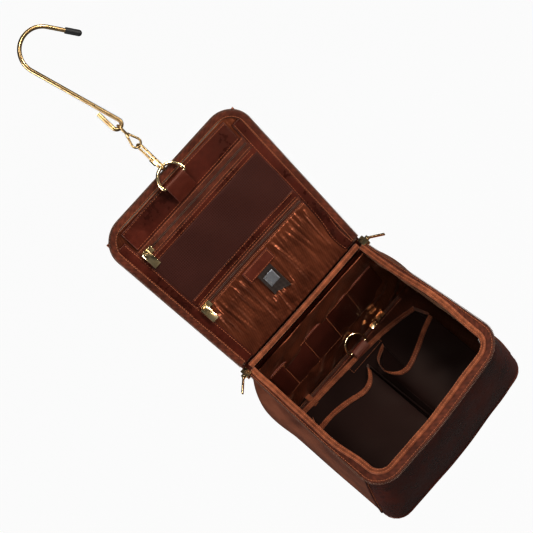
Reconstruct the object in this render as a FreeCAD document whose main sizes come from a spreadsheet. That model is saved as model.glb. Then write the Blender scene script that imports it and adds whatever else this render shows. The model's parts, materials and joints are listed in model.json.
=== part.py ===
import FreeCAD, Part
import Sketcher
import math
import os
from FreeCAD import Vector

# Hanging toiletry bag, open and hanging from its wire hook.  Millimetres, +Z up.
# The origin is the point inside the top of the hook that rests on a rail.
# -Y faces the person using the bag and +X is their right.
#
# Everything on the lid is drawn in the lid's own frame: x across, y up from the
# fold, z out of the lining towards the user.  Everything on the box is drawn in
# the box's frame: x across, y along the mouth (the fold is y = 0, the far edge
# is negative), z out through the mouth (the mouth is z = 0).

doc = FreeCAD.newDocument("toiletry_bag")
sheet = doc.addObject("Spreadsheet::Sheet", "Sizes")

SIZES = {
    # pose
    "lid_lean": 5.85,           # degrees, top of the lid towards the user
    "mouth_tilt": 53.65,         # degrees, mouth of the box from vertical
    "load_line_x": -3.3,         # the load hangs this far from the hook's top
    # hook
    "hook_wire_radius": 2.3,
    "hook_arc_radius": 24.5,     # centre line of the big arc
    "hook_tip_angle": 33,        # degrees, where the arc runs into the tip
    "hook_tip_length": 33,
    "hook_drop": 132,            # from the saddle to the centre of the small loop
    "hook_loop_radius": 5.4,
    "hook_return": 22,           # length of the cut end of the small loop
    "tip_cap_radius": 3.4,
    "tip_cap_length": 17,
    # chain between hook and bag
    "rest_gap": 0.05,            # air left between two linked wires
    "link_wire_radius": 1.25,
    "link_length": 32.5,         # between wire centres, as for the clip
    "link_eye_radius": 5.2,
    "link_top_eye_radius": 4.2,
    "clip_wire_radius": 1.3,
    "clip_length": 39,
    "clip_half_width": 4.4,
    "clip_yaw": 21,              # degrees, the clip hangs turned about the load line
    "gate_length": 17,
    "gate_gap": 0.4,
    "ring_wire_radius": 1.9,
    "ring_half_width": 16.2,
    "ring_height": 20,
    "ring_set_back": 15,         # from the lid's top edge down to the ring's bar
    "ring_bar_lift": 4,          # bar above the mouth plane of the lid
    "ring_running_gap": 0.08,
    "tab_width": 27.3,
    "tab_length": 28,
    "tab_leather": 2.2,
    # outline shared by lid and mouth
    "hinge_width": 204,
    "outer_width": 220,
    "panel_length": 232,
    "corner_radius": 32,
    "fold_gap": 4,               # pieces stay this far from the fold's axis
    "fold_radius": 3,
    # lid build-up
    "lid_thickness": 9,
    "leather": 2,
    "board": 2.6,
    "lining": 0.8,
    "strip_leather": 1.5,
    "tape": 0.8,
    "tape_width": 9,
    "coil_radius": 1.0,
    "strip_inset": 7,
    "strip_width": 15,
    "top_panel_low": 190.4,
    "top_panel_high": 220.3,
    "upper_zip_low": 174.6,
    "upper_welt_low": 165.8,
    "mesh_low": 104.3,
    "lower_welt_low": 93.7,
    "lower_zip_low": 83.2,
    "satin_low": 5,
    "label_width": 41.5,
    "label_x": -3.2,
    "label_low": 65.6,
    "label_high": 82.6,
    "tag_width": 20.9,
    "tag_low": 31.6,
    # box
    "box_depth": 125,
    "back_width": 230,
    "back_length": 209,
    "back_corner_radius": 22,
    "wall": 3.5,
    "wall_inset": 7,
    "mouth_tape_drop": 3,
    "mouth_coil_radius": 1.2,
    "binding_width": 5,
    "binding_height": 5,
    "piping_radius": 1.6,
    "loop_strip_near": 32,
    "loop_strip_far": 88,
    "loop_strip_width": 176,
    "organizer_top": 19,
    "organizer_width": 184,
    "pocket_depth": 27,
    "nylon": 1.2,
    "left_pocket_top": 64,
    "right_pocket_top": 84,
    "pocket_bottom": 196,
    "inner_ring_x": 13,
    "inner_ring_half_width": 13.7,
    "inner_ring_wire_radius": 1.7,
    "inner_ring_height": 17.5,
    "inner_ring_lean": 48,       # degrees off the back panel, resting under the top wall
    # zip hardware
    "slider_length": 12,
    "slider_width": 8,
    "slider_gap": 0.3,
    "pin_radius": 0.8,
    "pin_gap": 0.08,
    "pull_length": 21,
    "pull_width": 9,
    "pull_thickness": 1.4,
    "pull_rest_angle": 47,       # degrees, main pulls stand out from the box side
}
for row, (alias, value) in enumerate(SIZES.items(), start=1):
    sheet.set(f"A{row}", alias)
    sheet.set(f"B{row}", str(value))
    sheet.setAlias(f"B{row}", alias)
doc.recompute()


class Size:
    """Reads a size back from the sheet: s.leather is the cell called leather."""

    def __getattr__(self, alias):
        return float(sheet.get(alias))


s = Size()
NODES = []

# ---------------------------------------------------------------- frames

LINK_REST = "Sizes.hook_wire_radius + Sizes.link_wire_radius + Sizes.rest_gap"
CLIP_REST = "Sizes.link_wire_radius + Sizes.clip_wire_radius + Sizes.rest_gap"
RING_REST = "Sizes.clip_wire_radius + Sizes.ring_wire_radius + Sizes.rest_gap"
SMALL_LOOP_Z = "-Sizes.hook_drop - Sizes.hook_loop_radius"
LINK_TOP_Z = f"{SMALL_LOOP_Z} + {LINK_REST}"
CLIP_TOP_Z = f"{LINK_TOP_Z} - Sizes.link_length + {CLIP_REST}"
RING_TOP_Z = f"{CLIP_TOP_Z} - Sizes.clip_length + {RING_REST}"
RING_BAR_Z = f"{RING_TOP_Z} - Sizes.ring_height"
RING_BAR_Y = "(Sizes.panel_length - Sizes.ring_set_back)"
LEAN = "(Sizes.lid_lean * 1 deg)"
FOLD_Y = f"{RING_BAR_Y} * sin({LEAN}) + Sizes.ring_bar_lift * cos({LEAN})"
FOLD_Z = (f"{RING_BAR_Z} - {RING_BAR_Y} * cos({LEAN})"
          f" + Sizes.ring_bar_lift * sin({LEAN})")


def turned(axis, angle):
    return f"create(<<rotation>>; create(<<vector>>; {axis}); {angle})"


def placed(x, y, z, rotation=turned("1; 0; 0", "0")):
    return f"create(<<placement>>; create(<<vector>>; {x}; {y}; {z}); {rotation})"


UPRIGHT = turned("1; 0; 0", "90")
HOOK = placed("0", "0", "0", UPRIGHT)
LINK = placed("Sizes.load_line_x", "0", LINK_TOP_Z, UPRIGHT)
CLIP = placed("Sizes.load_line_x", "0", CLIP_TOP_Z,
              f"{turned('0; 0; 1', '90 + Sizes.clip_yaw')} * {UPRIGHT}")
RING = placed("Sizes.load_line_x", "0", RING_TOP_Z, UPRIGHT)
LID = placed("Sizes.load_line_x", FOLD_Y, FOLD_Z,
             turned("1; 0; 0", "90 + Sizes.lid_lean"))
BOX = placed("Sizes.load_line_x", FOLD_Y, FOLD_Z,
             turned("1; 0; 0", "90 - Sizes.mouth_tilt"))


# ---------------------------------------------------------------- drawing helpers

def rounded_line(points, radii, closed=False):
    """Straight runs joined by tangent arcs; one radius for each inner corner."""
    corners = [Vector(x, y, 0) for x, y in points]
    count = len(corners)
    turns = range(count) if closed else range(1, count - 1)
    starts, ends, arcs = {}, {}, {}
    for number, corner in enumerate(turns):
        here = corners[corner]
        back = (corners[corner - 1] - here).normalize()
        ahead = (corners[(corner + 1) % count] - here).normalize()
        radius = radii[number]
        if radius <= 0:
            continue
        half = back.getAngle(ahead) / 2
        reach = radius / math.tan(half)
        middle = (back + ahead).normalize() * (radius / math.sin(half) - radius)
        starts[corner] = here + back * reach
        ends[corner] = here + ahead * reach
        arcs[corner] = Part.Arc(starts[corner], here + middle, ends[corner])
    runs = []
    for number in range(count if closed else count - 1):
        after = (number + 1) % count
        head = ends.get(number, corners[number])
        tail = starts.get(after, corners[after])
        if head.distanceToPoint(tail) > 1e-6:
            runs.append(Part.LineSegment(head, tail))
        if after in arcs:
            runs.append(arcs[after])
    return runs


def side_x(y, inset):
    """Half width of the shared outline at a distance y from the fold."""
    taper = (s.outer_width - s.hinge_width) / 2 / s.panel_length
    return s.hinge_width / 2 + taper * abs(y) - inset


def outline(inset, start, sign):
    """Open U: down one side of the shared outline, round the far edge and back."""
    far = s.panel_length - inset
    radius = s.corner_radius - inset
    points = [(-side_x(start, inset), sign * start), (-side_x(far, inset), sign * far),
              (side_x(far, inset), sign * far), (side_x(start, inset), sign * start)]
    return points, [radius, radius]


def closed_outline(inset, start, sign):
    points, radii = outline(inset, start, sign)
    return rounded_line(points, [0] + radii + [0], closed=True)


def start_body(label, frame):
    body = doc.addObject("PartDesign::Body", label)
    body.Label = label
    body.setExpression("Placement", frame)
    NODES.append(body)
    return body


def plane_of(body, role):
    return next(item for item in body.Origin.OriginFeatures if item.Role == role)


def offset_on(feature, body, role, x="0", y="0", z="0"):
    feature.AttachmentSupport = [(plane_of(body, role), "")]
    feature.MapMode = "FlatFace"
    for axis, amount in (("x", x), ("y", y), ("z", z)):
        feature.setExpression(f"AttachmentOffset.Base.{axis}", amount)


def sketch_on(body, name, runs, role="XY_Plane", x="0", y="0", z="0"):
    sketch = body.newObject("Sketcher::SketchObject", f"{body.Label}_{name}")
    offset_on(sketch, body, role, x, y, z)
    sketch.addGeometry(runs, False)
    return sketch


def pad(body, runs, low, thickness, name="outline"):
    """A flat piece: the closed runs, from z = low, thickness thick."""
    sketch = sketch_on(body, name, runs, z=low)
    feature = body.newObject("PartDesign::Pad", f"{body.Label}_{name}_pad")
    feature.Profile = sketch
    feature.setExpression("Length", thickness)
    return feature


def block(body, x, y, z, width, height, thickness, cut=False):
    """A box inside a body, from its low corner; cut takes it away instead."""
    kind = "PartDesign::SubtractiveBox" if cut else "PartDesign::AdditiveBox"
    box = body.newObject(kind, f"{body.Label}_block")
    offset_on(box, body, "XY_Plane", x, y, z)
    box.setExpression("Length", width)
    box.setExpression("Width", height)
    box.setExpression("Height", thickness)
    return box


def post(body, x, y, z, radius, length, cut=False):
    """A cylinder along the body's z, standing on (x, y, z)."""
    kind = "PartDesign::SubtractiveCylinder" if cut else "PartDesign::AdditiveCylinder"
    rod = body.newObject(kind, f"{body.Label}_post")
    offset_on(rod, body, "XY_Plane", x, y, z)
    rod.setExpression("Radius", radius)
    rod.setExpression("Height", length)
    return rod


def rod(body, role, a, b, c, radius, length, cut=False):
    """A cylinder square to an origin plane, at (a, b) on it, from height c.

    YZ_Plane: along x, at (y, z).  XZ_Plane: along -y, at (x, z).
    """
    kind = "PartDesign::SubtractiveCylinder" if cut else "PartDesign::AdditiveCylinder"
    bar = body.newObject(kind, f"{body.Label}_rod")
    offset_on(bar, body, role, a, b, c)
    bar.setExpression("Radius", radius)
    bar.setExpression("Height", length)
    return bar


def slab(label, frame, x, y, z, width, height, thickness):
    body = start_body(label, frame)
    block(body, x, y, z, width, height, thickness)
    return body


def strip_across(label, frame, half, low, high, z, thickness):
    """A slab centred on x = 0, from y = low to y = high."""
    return slab(label, frame, f"-({half})", low, z, f"2 * ({half})", f"({high}) - ({low})", thickness)


def pipe(body, runs, radius, role="XZ_Plane", name="path", lift="0"):
    """A round wire along runs drawn in the body's XY plane, lift above it.

    The run starts at the first point of the first run, heading along y
    (role XZ_Plane) or along x (role YZ_Plane).
    """
    path = sketch_on(body, name, runs, z=lift)
    begin = runs[0].StartPoint
    section = body.newObject("Sketcher::SketchObject", f"{body.Label}_{name}_section")
    if role == "XZ_Plane":
        offset_on(section, body, role, str(begin.x), lift, str(-begin.y))
    else:
        offset_on(section, body, role, str(begin.y), lift, str(begin.x))
    section.addGeometry(Part.Circle(Vector(0, 0, 0), Vector(0, 0, 1), 1), False)
    section.addConstraint(Sketcher.Constraint("Coincident", 0, 3, -1, 1))
    section.addConstraint(Sketcher.Constraint("Radius", 0, 1))
    section.setExpression("Constraints[1]", radius)
    feature = body.newObject("PartDesign::AdditivePipe", f"{body.Label}_{name}_pipe")
    feature.Profile = section
    feature.Spine = path
    return feature


def loft(label, frame, near, near_z, far, far_z):
    """A wall whose closed section changes from near to far along z."""
    body = start_body(label, frame)
    first = sketch_on(body, "near", near, z=near_z)
    last = sketch_on(body, "far", far, z=far_z)
    feature = body.newObject("PartDesign::AdditiveLoft", f"{label}_loft")
    feature.Profile = first
    feature.Sections = [last]
    feature.Ruled = True
    return body

# ---------------------------------------------------------------- hook

def make_hook():
    """Round wire: cut end, small loop, leaning shank, big arc, tip."""
    wire = s.hook_wire_radius
    arc = s.hook_arc_radius
    loop = s.hook_loop_radius
    loop_centre = Vector(s.load_line_x, -s.hook_drop, 0)
    arc_centre = Vector(0, wire - arc, 0)
    across = loop_centre - arc_centre
    lean = math.asin((arc + loop) / across.Length) + math.atan2(across.x, -across.y)
    tip = math.radians(s.hook_tip_angle)
    normal = Vector(math.cos(lean), math.sin(lean), 0)
    loop_end = loop_centre + normal * loop
    arc_start = arc_centre - normal * arc
    arc_end = arc_centre + Vector(math.cos(tip), math.sin(tip), 0) * arc
    cut_foot = loop_centre - Vector(loop, 0, 0)
    tip_end = arc_end + Vector(math.sin(tip), -math.cos(tip), 0) * s.hook_tip_length
    runs = [
        Part.LineSegment(cut_foot + Vector(0, s.hook_return, 0), cut_foot),
        Part.Arc(cut_foot, loop_centre - Vector(0, loop, 0), loop_end),
        Part.LineSegment(loop_end, arc_start),
        Part.Arc(arc_start, arc_centre + Vector(0, arc, 0), arc_end),
        Part.LineSegment(arc_end, tip_end),
    ]
    hook = start_body("hook_wire", HOOK)
    pipe(hook, runs, "Sizes.hook_wire_radius")
    return tip_end, tip


def make_tip_cap(tip_end, tip):
    """Blind rubber cap on the end of the wire, with a rounded nose."""
    nose = s.tip_cap_radius
    cover = s.tip_cap_length - nose
    along = Vector(math.sin(tip), -math.cos(tip), 0)
    cap = doc.addObject("Part::Feature", "hook_tip_cap")
    base = tip_end - along * cover
    sleeve = Part.makeCylinder(nose, cover + 1, base, along)
    ball = Part.makeSphere(nose, tip_end + along)
    wire = Part.makeCylinder(s.hook_wire_radius, cover, base, along)
    cap.Shape = sleeve.fuse(ball).cut(wire).removeSplitter()
    cap.Label = "hook_tip_cap"
    cap.setExpression("Placement", HOOK)
    NODES.append(cap)


# ---------------------------------------------------------------- chain

CLIP_PIVOT_RISE = 3.2            # gate's pin above the collar's seat


def swept_wire(label, frame, edge_sets, radius):
    """One solid from round wires swept along three-dimensional runs."""
    solid = None
    for edges in edge_sets:
        spine = Part.Wire(edges)
        first = edges[0]
        direction = first.tangentAt(first.FirstParameter)
        begin = first.valueAt(first.FirstParameter)
        section = Part.Wire(Part.makeCircle(radius, begin, direction))
        rod = spine.makePipeShell([section], True, True)
        solid = rod if solid is None else solid.fuse(rod)
    piece = doc.addObject("Part::Feature", label)
    piece.Shape = solid
    piece.Label = label
    piece.setExpression("Placement", frame)
    NODES.append(piece)
    return piece


def eye(tip_y, neck_y, radius, side):
    """Teardrop eye: an arc round tip_y and two straight legs meeting at neck_y.

    side is the unit vector across the eye.  The legs are tangent to the arc.
    """
    sign = 1 if tip_y > neck_y else -1
    centre = tip_y - sign * radius
    reach = abs(centre - neck_y)
    neck_half = s.link_wire_radius * 1.02
    lean = math.asin(radius / math.hypot(reach, neck_half)) - math.atan2(neck_half, reach)
    drop = Vector(0, centre - sign * radius * math.sin(lean), 0)
    foot = drop + side * radius * math.cos(lean)
    other = drop - side * radius * math.cos(lean)
    neck = Vector(0, neck_y, 0)
    leg = Part.LineSegment(neck + side * neck_half, foot)
    arc = Part.Arc(foot, Vector(0, tip_y, 0), other)
    back = Part.LineSegment(other, neck - side * neck_half)
    return [leg.toShape(), arc.toShape(), back.toShape()]


def make_link():
    """Two eyes of one wire, a quarter turn apart, closed by a twisted neck."""
    wire = s.link_wire_radius
    neck = -s.link_length * 0.46
    upper = eye(0, neck, s.link_top_eye_radius, Vector(0, 0, 1))
    lower = eye(-s.link_length, neck, s.link_eye_radius, Vector(1, 0, 0))
    link = swept_wire("twist_link", LINK, [upper, lower], wire)
    barrel = Part.makeCylinder(wire * 1.9, wire * 3, Vector(0, neck - wire * 1.5, 0), Vector(0, 1, 0))
    placement = link.Placement
    link.Placement = FreeCAD.Placement()
    link.Shape = link.Shape.fuse(barrel).removeSplitter()
    link.Placement = placement


def make_clip():
    """Long oval of wire; the upper part of one side is a sprung gate."""
    half = s.clip_half_width
    low = -s.clip_length
    hinge_y = low + half + 8
    gate_top = hinge_y + s.gate_length
    upper = Vector(0, -half, 0)
    lower = Vector(0, low + half, 0)
    runs = [
        Part.LineSegment(Vector(half, hinge_y, 0), lower + Vector(half, 0, 0)),
        Part.Arc(lower + Vector(half, 0, 0), Vector(0, low, 0), lower - Vector(half, 0, 0)),
        Part.LineSegment(lower - Vector(half, 0, 0), upper - Vector(half, 0, 0)),
        Part.Arc(upper - Vector(half, 0, 0), Vector(0, 0, 0), upper + Vector(half, 0, 0)),
        Part.LineSegment(upper + Vector(half, 0, 0), Vector(half, gate_top + s.gate_gap, 0)),
    ]
    frame = start_body("clip_frame", CLIP)
    pipe(frame, runs, "Sizes.clip_wire_radius")

    ear = s.clip_wire_radius * 1.45
    pivot_y = hinge_y + CLIP_PIVOT_RISE
    collar = start_body("clip_collar", CLIP)
    block(collar, f"{half} - {ear}", f"{hinge_y} - 4", f"-{ear}", f"2 * {ear}", "5.2", f"2 * {ear}")
    rod(collar, "XZ_Plane", str(half), "0", f"-({hinge_y})", "Sizes.clip_wire_radius", "4.1",
        cut=True)
    for side in (-1, 1):
        plate = 0.45
        low = -ear if side < 0 else ear - plate
        block(collar, f"{half} - {ear}", f"{hinge_y} + 1.2", str(low), f"2 * {ear}", "3.4", str(plate))
    post(collar, str(half), str(pivot_y), f"-{ear}", "0.5", f"2 * {ear}")

    gate = start_body("clip_gate", CLIP)
    gate_run = [Part.LineSegment(Vector(half, pivot_y - 1.2, 0), Vector(half, gate_top, 0))]
    pipe(gate, gate_run, "Sizes.clip_wire_radius")
    post(gate, str(half), str(pivot_y), "-3", "0.55", "6", cut=True)


def make_ring(label, frame, half, height, wire):
    """D-ring hanging from y = 0: half-round top, short legs, straight bar."""
    bend = s.ring_wire_radius * 1.3
    corner = half - bend
    bar = -height
    runs = [
        Part.LineSegment(Vector(-half, bar + bend, 0), Vector(-half, -half, 0)),
        Part.Arc(Vector(-half, -half, 0), Vector(0, 0, 0), Vector(half, -half, 0)),
        Part.LineSegment(Vector(half, -half, 0), Vector(half, bar + bend, 0)),
        Part.Arc(Vector(half, bar + bend, 0),
                 Vector(corner + bend * math.sqrt(0.5), bar + bend - bend * math.sqrt(0.5), 0),
                 Vector(corner, bar, 0)),
        Part.LineSegment(Vector(corner, bar, 0), Vector(-corner, bar, 0)),
        Part.Arc(Vector(-corner, bar, 0),
                 Vector(-corner - bend * math.sqrt(0.5), bar + bend - bend * math.sqrt(0.5), 0),
                 Vector(-half, bar + bend, 0)),
    ]
    ring = start_body(label, frame)
    pipe(ring, runs, wire)


# ---------------------------------------------------------------- lid

SHELL_Z = "-Sizes.lid_thickness"
BOARD_Z = f"{SHELL_Z} + Sizes.leather"
LINING_Z = f"{BOARD_Z} + Sizes.board"
FACE_Z = f"{LINING_Z} + Sizes.lining"        # where everything sewn to the lining starts
FIELD_HALF = "(Sizes.hinge_width / 2 - Sizes.strip_inset - Sizes.strip_width)"


def edge_strip(side, inset, width, low, high, sign=1):
    """Corner points of a strip that runs along one side of the outline."""
    points = [(side * side_x(low, inset), sign * low), (side * side_x(high, inset), sign * high),
              (side * side_x(high, inset + width), sign * high),
              (side * side_x(low, inset + width), sign * low)]
    return rounded_line(points, [0, 0, 0, 0], closed=True)


def u_band(label, frame, inset, width, start, sign, low, thickness):
    """Flat band that follows the outline from one end of the fold to the other."""
    outer, outer_radii = outline(inset, start, sign)
    inner, inner_radii = outline(inset + width, start, sign)
    points = outer + inner[::-1]
    radii = [0] + outer_radii + [0, 0] + inner_radii[::-1] + [0]
    body = start_body(label, frame)
    pad(body, rounded_line(points, radii, closed=True), low, thickness)
    return body


def u_rod(label, frame, inset, start, sign, lift, radius):
    """Round strand that follows the outline."""
    points, radii = outline(inset, start, sign)
    body = start_body(label, frame)
    pipe(body, rounded_line(points, radii), radius, lift=lift)
    return body


def make_lid():
    gap = s.fold_gap
    for label, inset, low, thickness in (
            ("lid_shell", 3, SHELL_Z, "Sizes.leather"),
            ("lid_board", 6, BOARD_Z, "Sizes.board"),
            ("lid_lining", 5, LINING_Z, "Sizes.lining")):
        body = start_body(label, LID)
        pad(body, closed_outline(inset, gap, 1), low, thickness)

    for side, label in ((-1, "lid_left_strip"), (1, "lid_right_strip")):
        body = start_body(label, LID)
        low = gap + 1
        runs = edge_strip(side, s.strip_inset, s.strip_width, low, s.top_panel_high - 12)
        pad(body, runs, FACE_Z, "Sizes.strip_leather")

    # Tape and half of the coil stand round the lid's edge; both stop short of the fold
    # to leave the parked sliders free.
    u_band("lid_zip_tape", LID, 2 * s.coil_radius + 0.2, s.tape_width - 2, TAPE_START, 1,
           f"{FACE_Z} + Sizes.strip_leather", "Sizes.tape")
    u_rod("lid_zip_coil", LID, s.coil_radius + 0.1, TAPE_START, 1,
          f"{FACE_Z} + Sizes.strip_leather + Sizes.tape / 2", "Sizes.coil_radius")

    strip_across("lid_top_panel", LID, f"{FIELD_HALF} + 3", "Sizes.top_panel_low",
                 "Sizes.top_panel_high - 2.2", FACE_Z, "Sizes.strip_leather")
    layers = (
        ("upper_welt", "upper_welt_low", "upper_zip_low", "Sizes.strip_leather"),
        ("mesh_pocket", "mesh_low", "upper_welt_low", "Sizes.lining"),
        ("lower_welt", "lower_welt_low", "mesh_low", "Sizes.strip_leather"),
        ("satin_pocket", "satin_low", "lower_zip_low", "Sizes.lining"),
    )
    for label, low, high, thickness in layers:
        strip_across(label, LID, FIELD_HALF, f"Sizes.{low}", f"Sizes.{high}", FACE_Z, thickness)

    for name, low, high in (("upper", "upper_zip_low", "top_panel_low"),
                            ("lower", "lower_zip_low", "lower_welt_low")):
        tape = strip_across(f"{name}_zip_tape", LID, FIELD_HALF, f"Sizes.{low}", f"Sizes.{high}",
                            FACE_Z, "Sizes.tape")
        coil = start_body(f"{name}_zip_coil", LID)
        middle = f"(Sizes.{low} + Sizes.{high}) / 2"
        rod(coil, "YZ_Plane", middle, f"{FACE_Z} + Sizes.tape + Sizes.coil_radius",
            f"-({FIELD_HALF})", "Sizes.coil_radius", f"2 * {FIELD_HALF}")

    slab("label_patch", LID, "Sizes.label_x - Sizes.label_width / 2", "Sizes.label_low",
         f"{FACE_Z} + Sizes.lining", "Sizes.label_width", "Sizes.label_high - Sizes.label_low",
         "Sizes.strip_leather")
    slab("care_tag", LID, "Sizes.label_x - Sizes.tag_width / 2", "Sizes.tag_low",
         f"{FACE_Z} + Sizes.lining + 0.4", "Sizes.tag_width",
         "Sizes.label_low - Sizes.tag_low - 0.4", "0.6")

    fold = start_body("hinge_binding", LID)
    rod(fold, "YZ_Plane", "0", "0", f"-{FIELD_HALF} - 12", "Sizes.fold_radius", f"2 * {FIELD_HALF} + 24")

    # Tab folded round the straight bar of the ring.
    tab = start_body("ring_tab", LID)
    back = f"{FACE_Z} + Sizes.strip_leather"
    boss = "(Sizes.ring_wire_radius + Sizes.ring_running_gap + Sizes.tab_leather)"
    rod(tab, "YZ_Plane", RING_BAR_Y, "Sizes.ring_bar_lift", "-Sizes.tab_width / 2", boss,
        "Sizes.tab_width")
    block(tab, "-Sizes.tab_width / 2", f"{RING_BAR_Y} + {boss} - Sizes.tab_length", back,
          "Sizes.tab_width", f"Sizes.tab_length - {boss}", "2 * Sizes.tab_leather")
    block(tab, "-Sizes.tab_width", f"{RING_BAR_Y} - 10", f"{back} - 10", "2 * Sizes.tab_width",
          "20", "10", cut=True)
    rod(tab, "YZ_Plane", RING_BAR_Y, "Sizes.ring_bar_lift", "-Sizes.tab_width",
        "Sizes.ring_wire_radius + Sizes.ring_running_gap", "2 * Sizes.tab_width", cut=True)


# ---------------------------------------------------------------- box

TAPE_START = 17                  # lid tape and coil start this far from the fold
MOUTH_TAPE_Z = "-Sizes.mouth_tape_drop - Sizes.tape"
WALL_TOP = "-Sizes.mouth_tape_drop - Sizes.tape"
BACK_Z = "-Sizes.box_depth"
BACK_FACE_Z = f"{BACK_Z} + Sizes.wall"       # inner face of the back panel


def section_points(z, inset):
    """Half width at the fold, half width at the far edge, and far edge's y, at depth z."""
    share = z / s.box_depth
    mouth_half = s.outer_width / 2 - s.wall_inset
    fold_half = s.hinge_width / 2 - s.wall_inset
    mouth_far = s.panel_length - s.wall_inset
    near = fold_half + (s.back_width / 2 - fold_half) * share - inset
    far = mouth_half + (s.back_width / 2 - mouth_half) * share - inset
    depth = mouth_far + (s.back_length - mouth_far) * share - inset
    radius = s.corner_radius - s.wall_inset
    radius += (s.back_corner_radius - radius) * share
    return near, far, depth, max(radius - inset, 1)


def seam_point(z, inset, past=0):
    """Where a side wall's seam meets a skin of the wall: x and y of a point on its straight run."""
    near, far, depth, radius = section_points(z, inset)
    outer_depth, outer_radius = section_points(z, 0)[2:]
    down = outer_depth - outer_radius - SEAM_RUN + past
    share = (down - s.fold_gap) / (depth - s.fold_gap)
    return near + (far - near) * share, down


def gusset_section(side, z):
    """Side wall: from the fold down to the seam just short of the far corner."""
    near = section_points(z, 0)[0]
    near_in = section_points(z, s.wall)[0]
    top = s.fold_gap
    seam_x, seam_y = seam_point(z, 0)
    seam_x_in = seam_point(z, s.wall)[0]
    points = [(side * near, -top), (side * seam_x, -seam_y),
              (side * seam_x_in, -seam_y), (side * near_in, -top)]
    return rounded_line(points, [0, 0, 0, 0], closed=True)


def bottom_section(z):
    """Far wall with both corners: a U between the two seams."""
    far, depth, radius = section_points(z, 0)[1:]
    far_in, depth_in, radius_in = section_points(z, s.wall)[1:]
    seam_x, seam_y = seam_point(z, 0, SEAM_GAP)
    seam_x_in = seam_point(z, s.wall, SEAM_GAP)[0]
    points = [(-seam_x, -seam_y), (-far, -depth), (far, -depth), (seam_x, -seam_y),
              (seam_x_in, -seam_y), (far_in, -depth_in), (-far_in, -depth_in), (-seam_x_in, -seam_y)]
    return rounded_line(points, [0, radius, radius, 0, 0, radius_in, radius_in, 0], closed=True)


def top_section(z):
    near = section_points(z, s.wall)[0] - SEAM_GAP
    top = s.fold_gap
    points = [(-near, -top), (near, -top), (near, -top - s.wall), (-near, -top - s.wall)]
    return rounded_line(points, [0, 0, 0, 0], closed=True)


def tub_section(z, inset):
    """Closed section of the inside of the box."""
    near, far, depth, radius = section_points(z, s.wall + inset)
    top = s.fold_gap + s.wall + inset
    points = [(-near, -top), (-far, -depth), (far, -depth), (near, -top)]
    return rounded_line(points, [0, radius, radius, 0], closed=True)


SEAM_RUN = 4                     # straight run of the bottom panel before its corner
SEAM_GAP = 0.2
BINDING_START = 9                # mouth binding starts this far from the fold


def make_box():
    depth = s.box_depth
    inner_depth = depth - s.wall
    mouth = s.mouth_tape_drop + s.tape
    for side, label in ((-1, "left_gusset"), (1, "right_gusset")):
        loft(label, BOX, gusset_section(side, mouth), WALL_TOP,
             gusset_section(side, inner_depth), f"{BACK_FACE_Z}")
    loft("bottom_panel", BOX, bottom_section(mouth), WALL_TOP, bottom_section(inner_depth), BACK_FACE_Z)
    loft("top_wall", BOX, top_section(mouth + 2), f"{WALL_TOP} - 2", top_section(inner_depth), BACK_FACE_Z)

    near, far, back_far, radius = section_points(depth, 0)
    back = start_body("back_panel", BOX)
    points = [(-near, -s.fold_gap), (-far, -back_far), (far, -back_far), (near, -s.fold_gap)]
    pad(back, rounded_line(points, [8, radius, radius, 8], closed=True), BACK_Z, "Sizes.wall")

    # Satin lining: an open tub just inside the walls.
    tub = start_body("lining_tub", BOX)
    skin = s.lining
    for name, inset, floor, kind in (("outside", 0.1, "0.1", "PartDesign::AdditiveLoft"),
                                     ("inside", 0.1 + skin, f"0.1 + {skin}", "PartDesign::SubtractiveLoft")):
        over = 1 if kind == "PartDesign::SubtractiveLoft" else 0
        first = sketch_on(tub, f"{name}_mouth", tub_section(mouth + 3 - over, inset),
                          z=f"{WALL_TOP} - 3 + {over}")
        last = sketch_on(tub, f"{name}_floor", tub_section(inner_depth, inset), z=f"{BACK_FACE_Z} + {floor}")
        feature = tub.newObject(kind, f"lining_{name}")
        feature.Profile = first
        feature.Sections = [last]
        feature.Ruled = True

    u_band("mouth_zip_tape", BOX, 2 * s.mouth_coil_radius + 0.1, s.tape_width, 6, -1, MOUTH_TAPE_Z,
           "Sizes.tape")
    u_rod("mouth_zip_coil", BOX, s.mouth_coil_radius, 6, -1, f"{MOUTH_TAPE_Z} + Sizes.tape / 2",
          "Sizes.mouth_coil_radius")
    u_band("mouth_binding", BOX, 2 * s.mouth_coil_radius + s.tape_width + 0.2, s.binding_width,
           BINDING_START, -1, f"{WALL_TOP} - 2.4", "Sizes.binding_height")


def make_piping():
    """Corded seam where each side wall meets the bottom panel and the back."""
    piping = doc.addObject("Part::Feature", "gusset_piping")
    rods = []
    depth = s.box_depth - s.wall
    mouth = s.mouth_tape_drop + s.tape
    for side in (-1, 1):
        ends = []
        for z in (mouth + 1, depth - 1):
            seam_x, seam_y = seam_point(z, 0)
            ends.append(Vector(side * (seam_x + s.piping_radius + 0.1), -seam_y, -z))
        along = ends[1] - ends[0]
        rods.append(Part.makeCylinder(s.piping_radius, along.Length, ends[0], along))
    piping.Shape = Part.makeCompound(rods)
    piping.Label = "gusset_piping"
    piping.setExpression("Placement", BOX)
    NODES.append(piping)


# ---------------------------------------------------------------- inside the box

FLOOR_Z = f"({BACK_FACE_Z} + 0.2 + Sizes.lining)"
ORGANIZER_Z = f"({FLOOR_Z} + 2 * Sizes.tape + 0.4)"
POCKET_FRONT_Z = f"({ORGANIZER_Z} + Sizes.nylon + Sizes.pocket_depth)"


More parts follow.
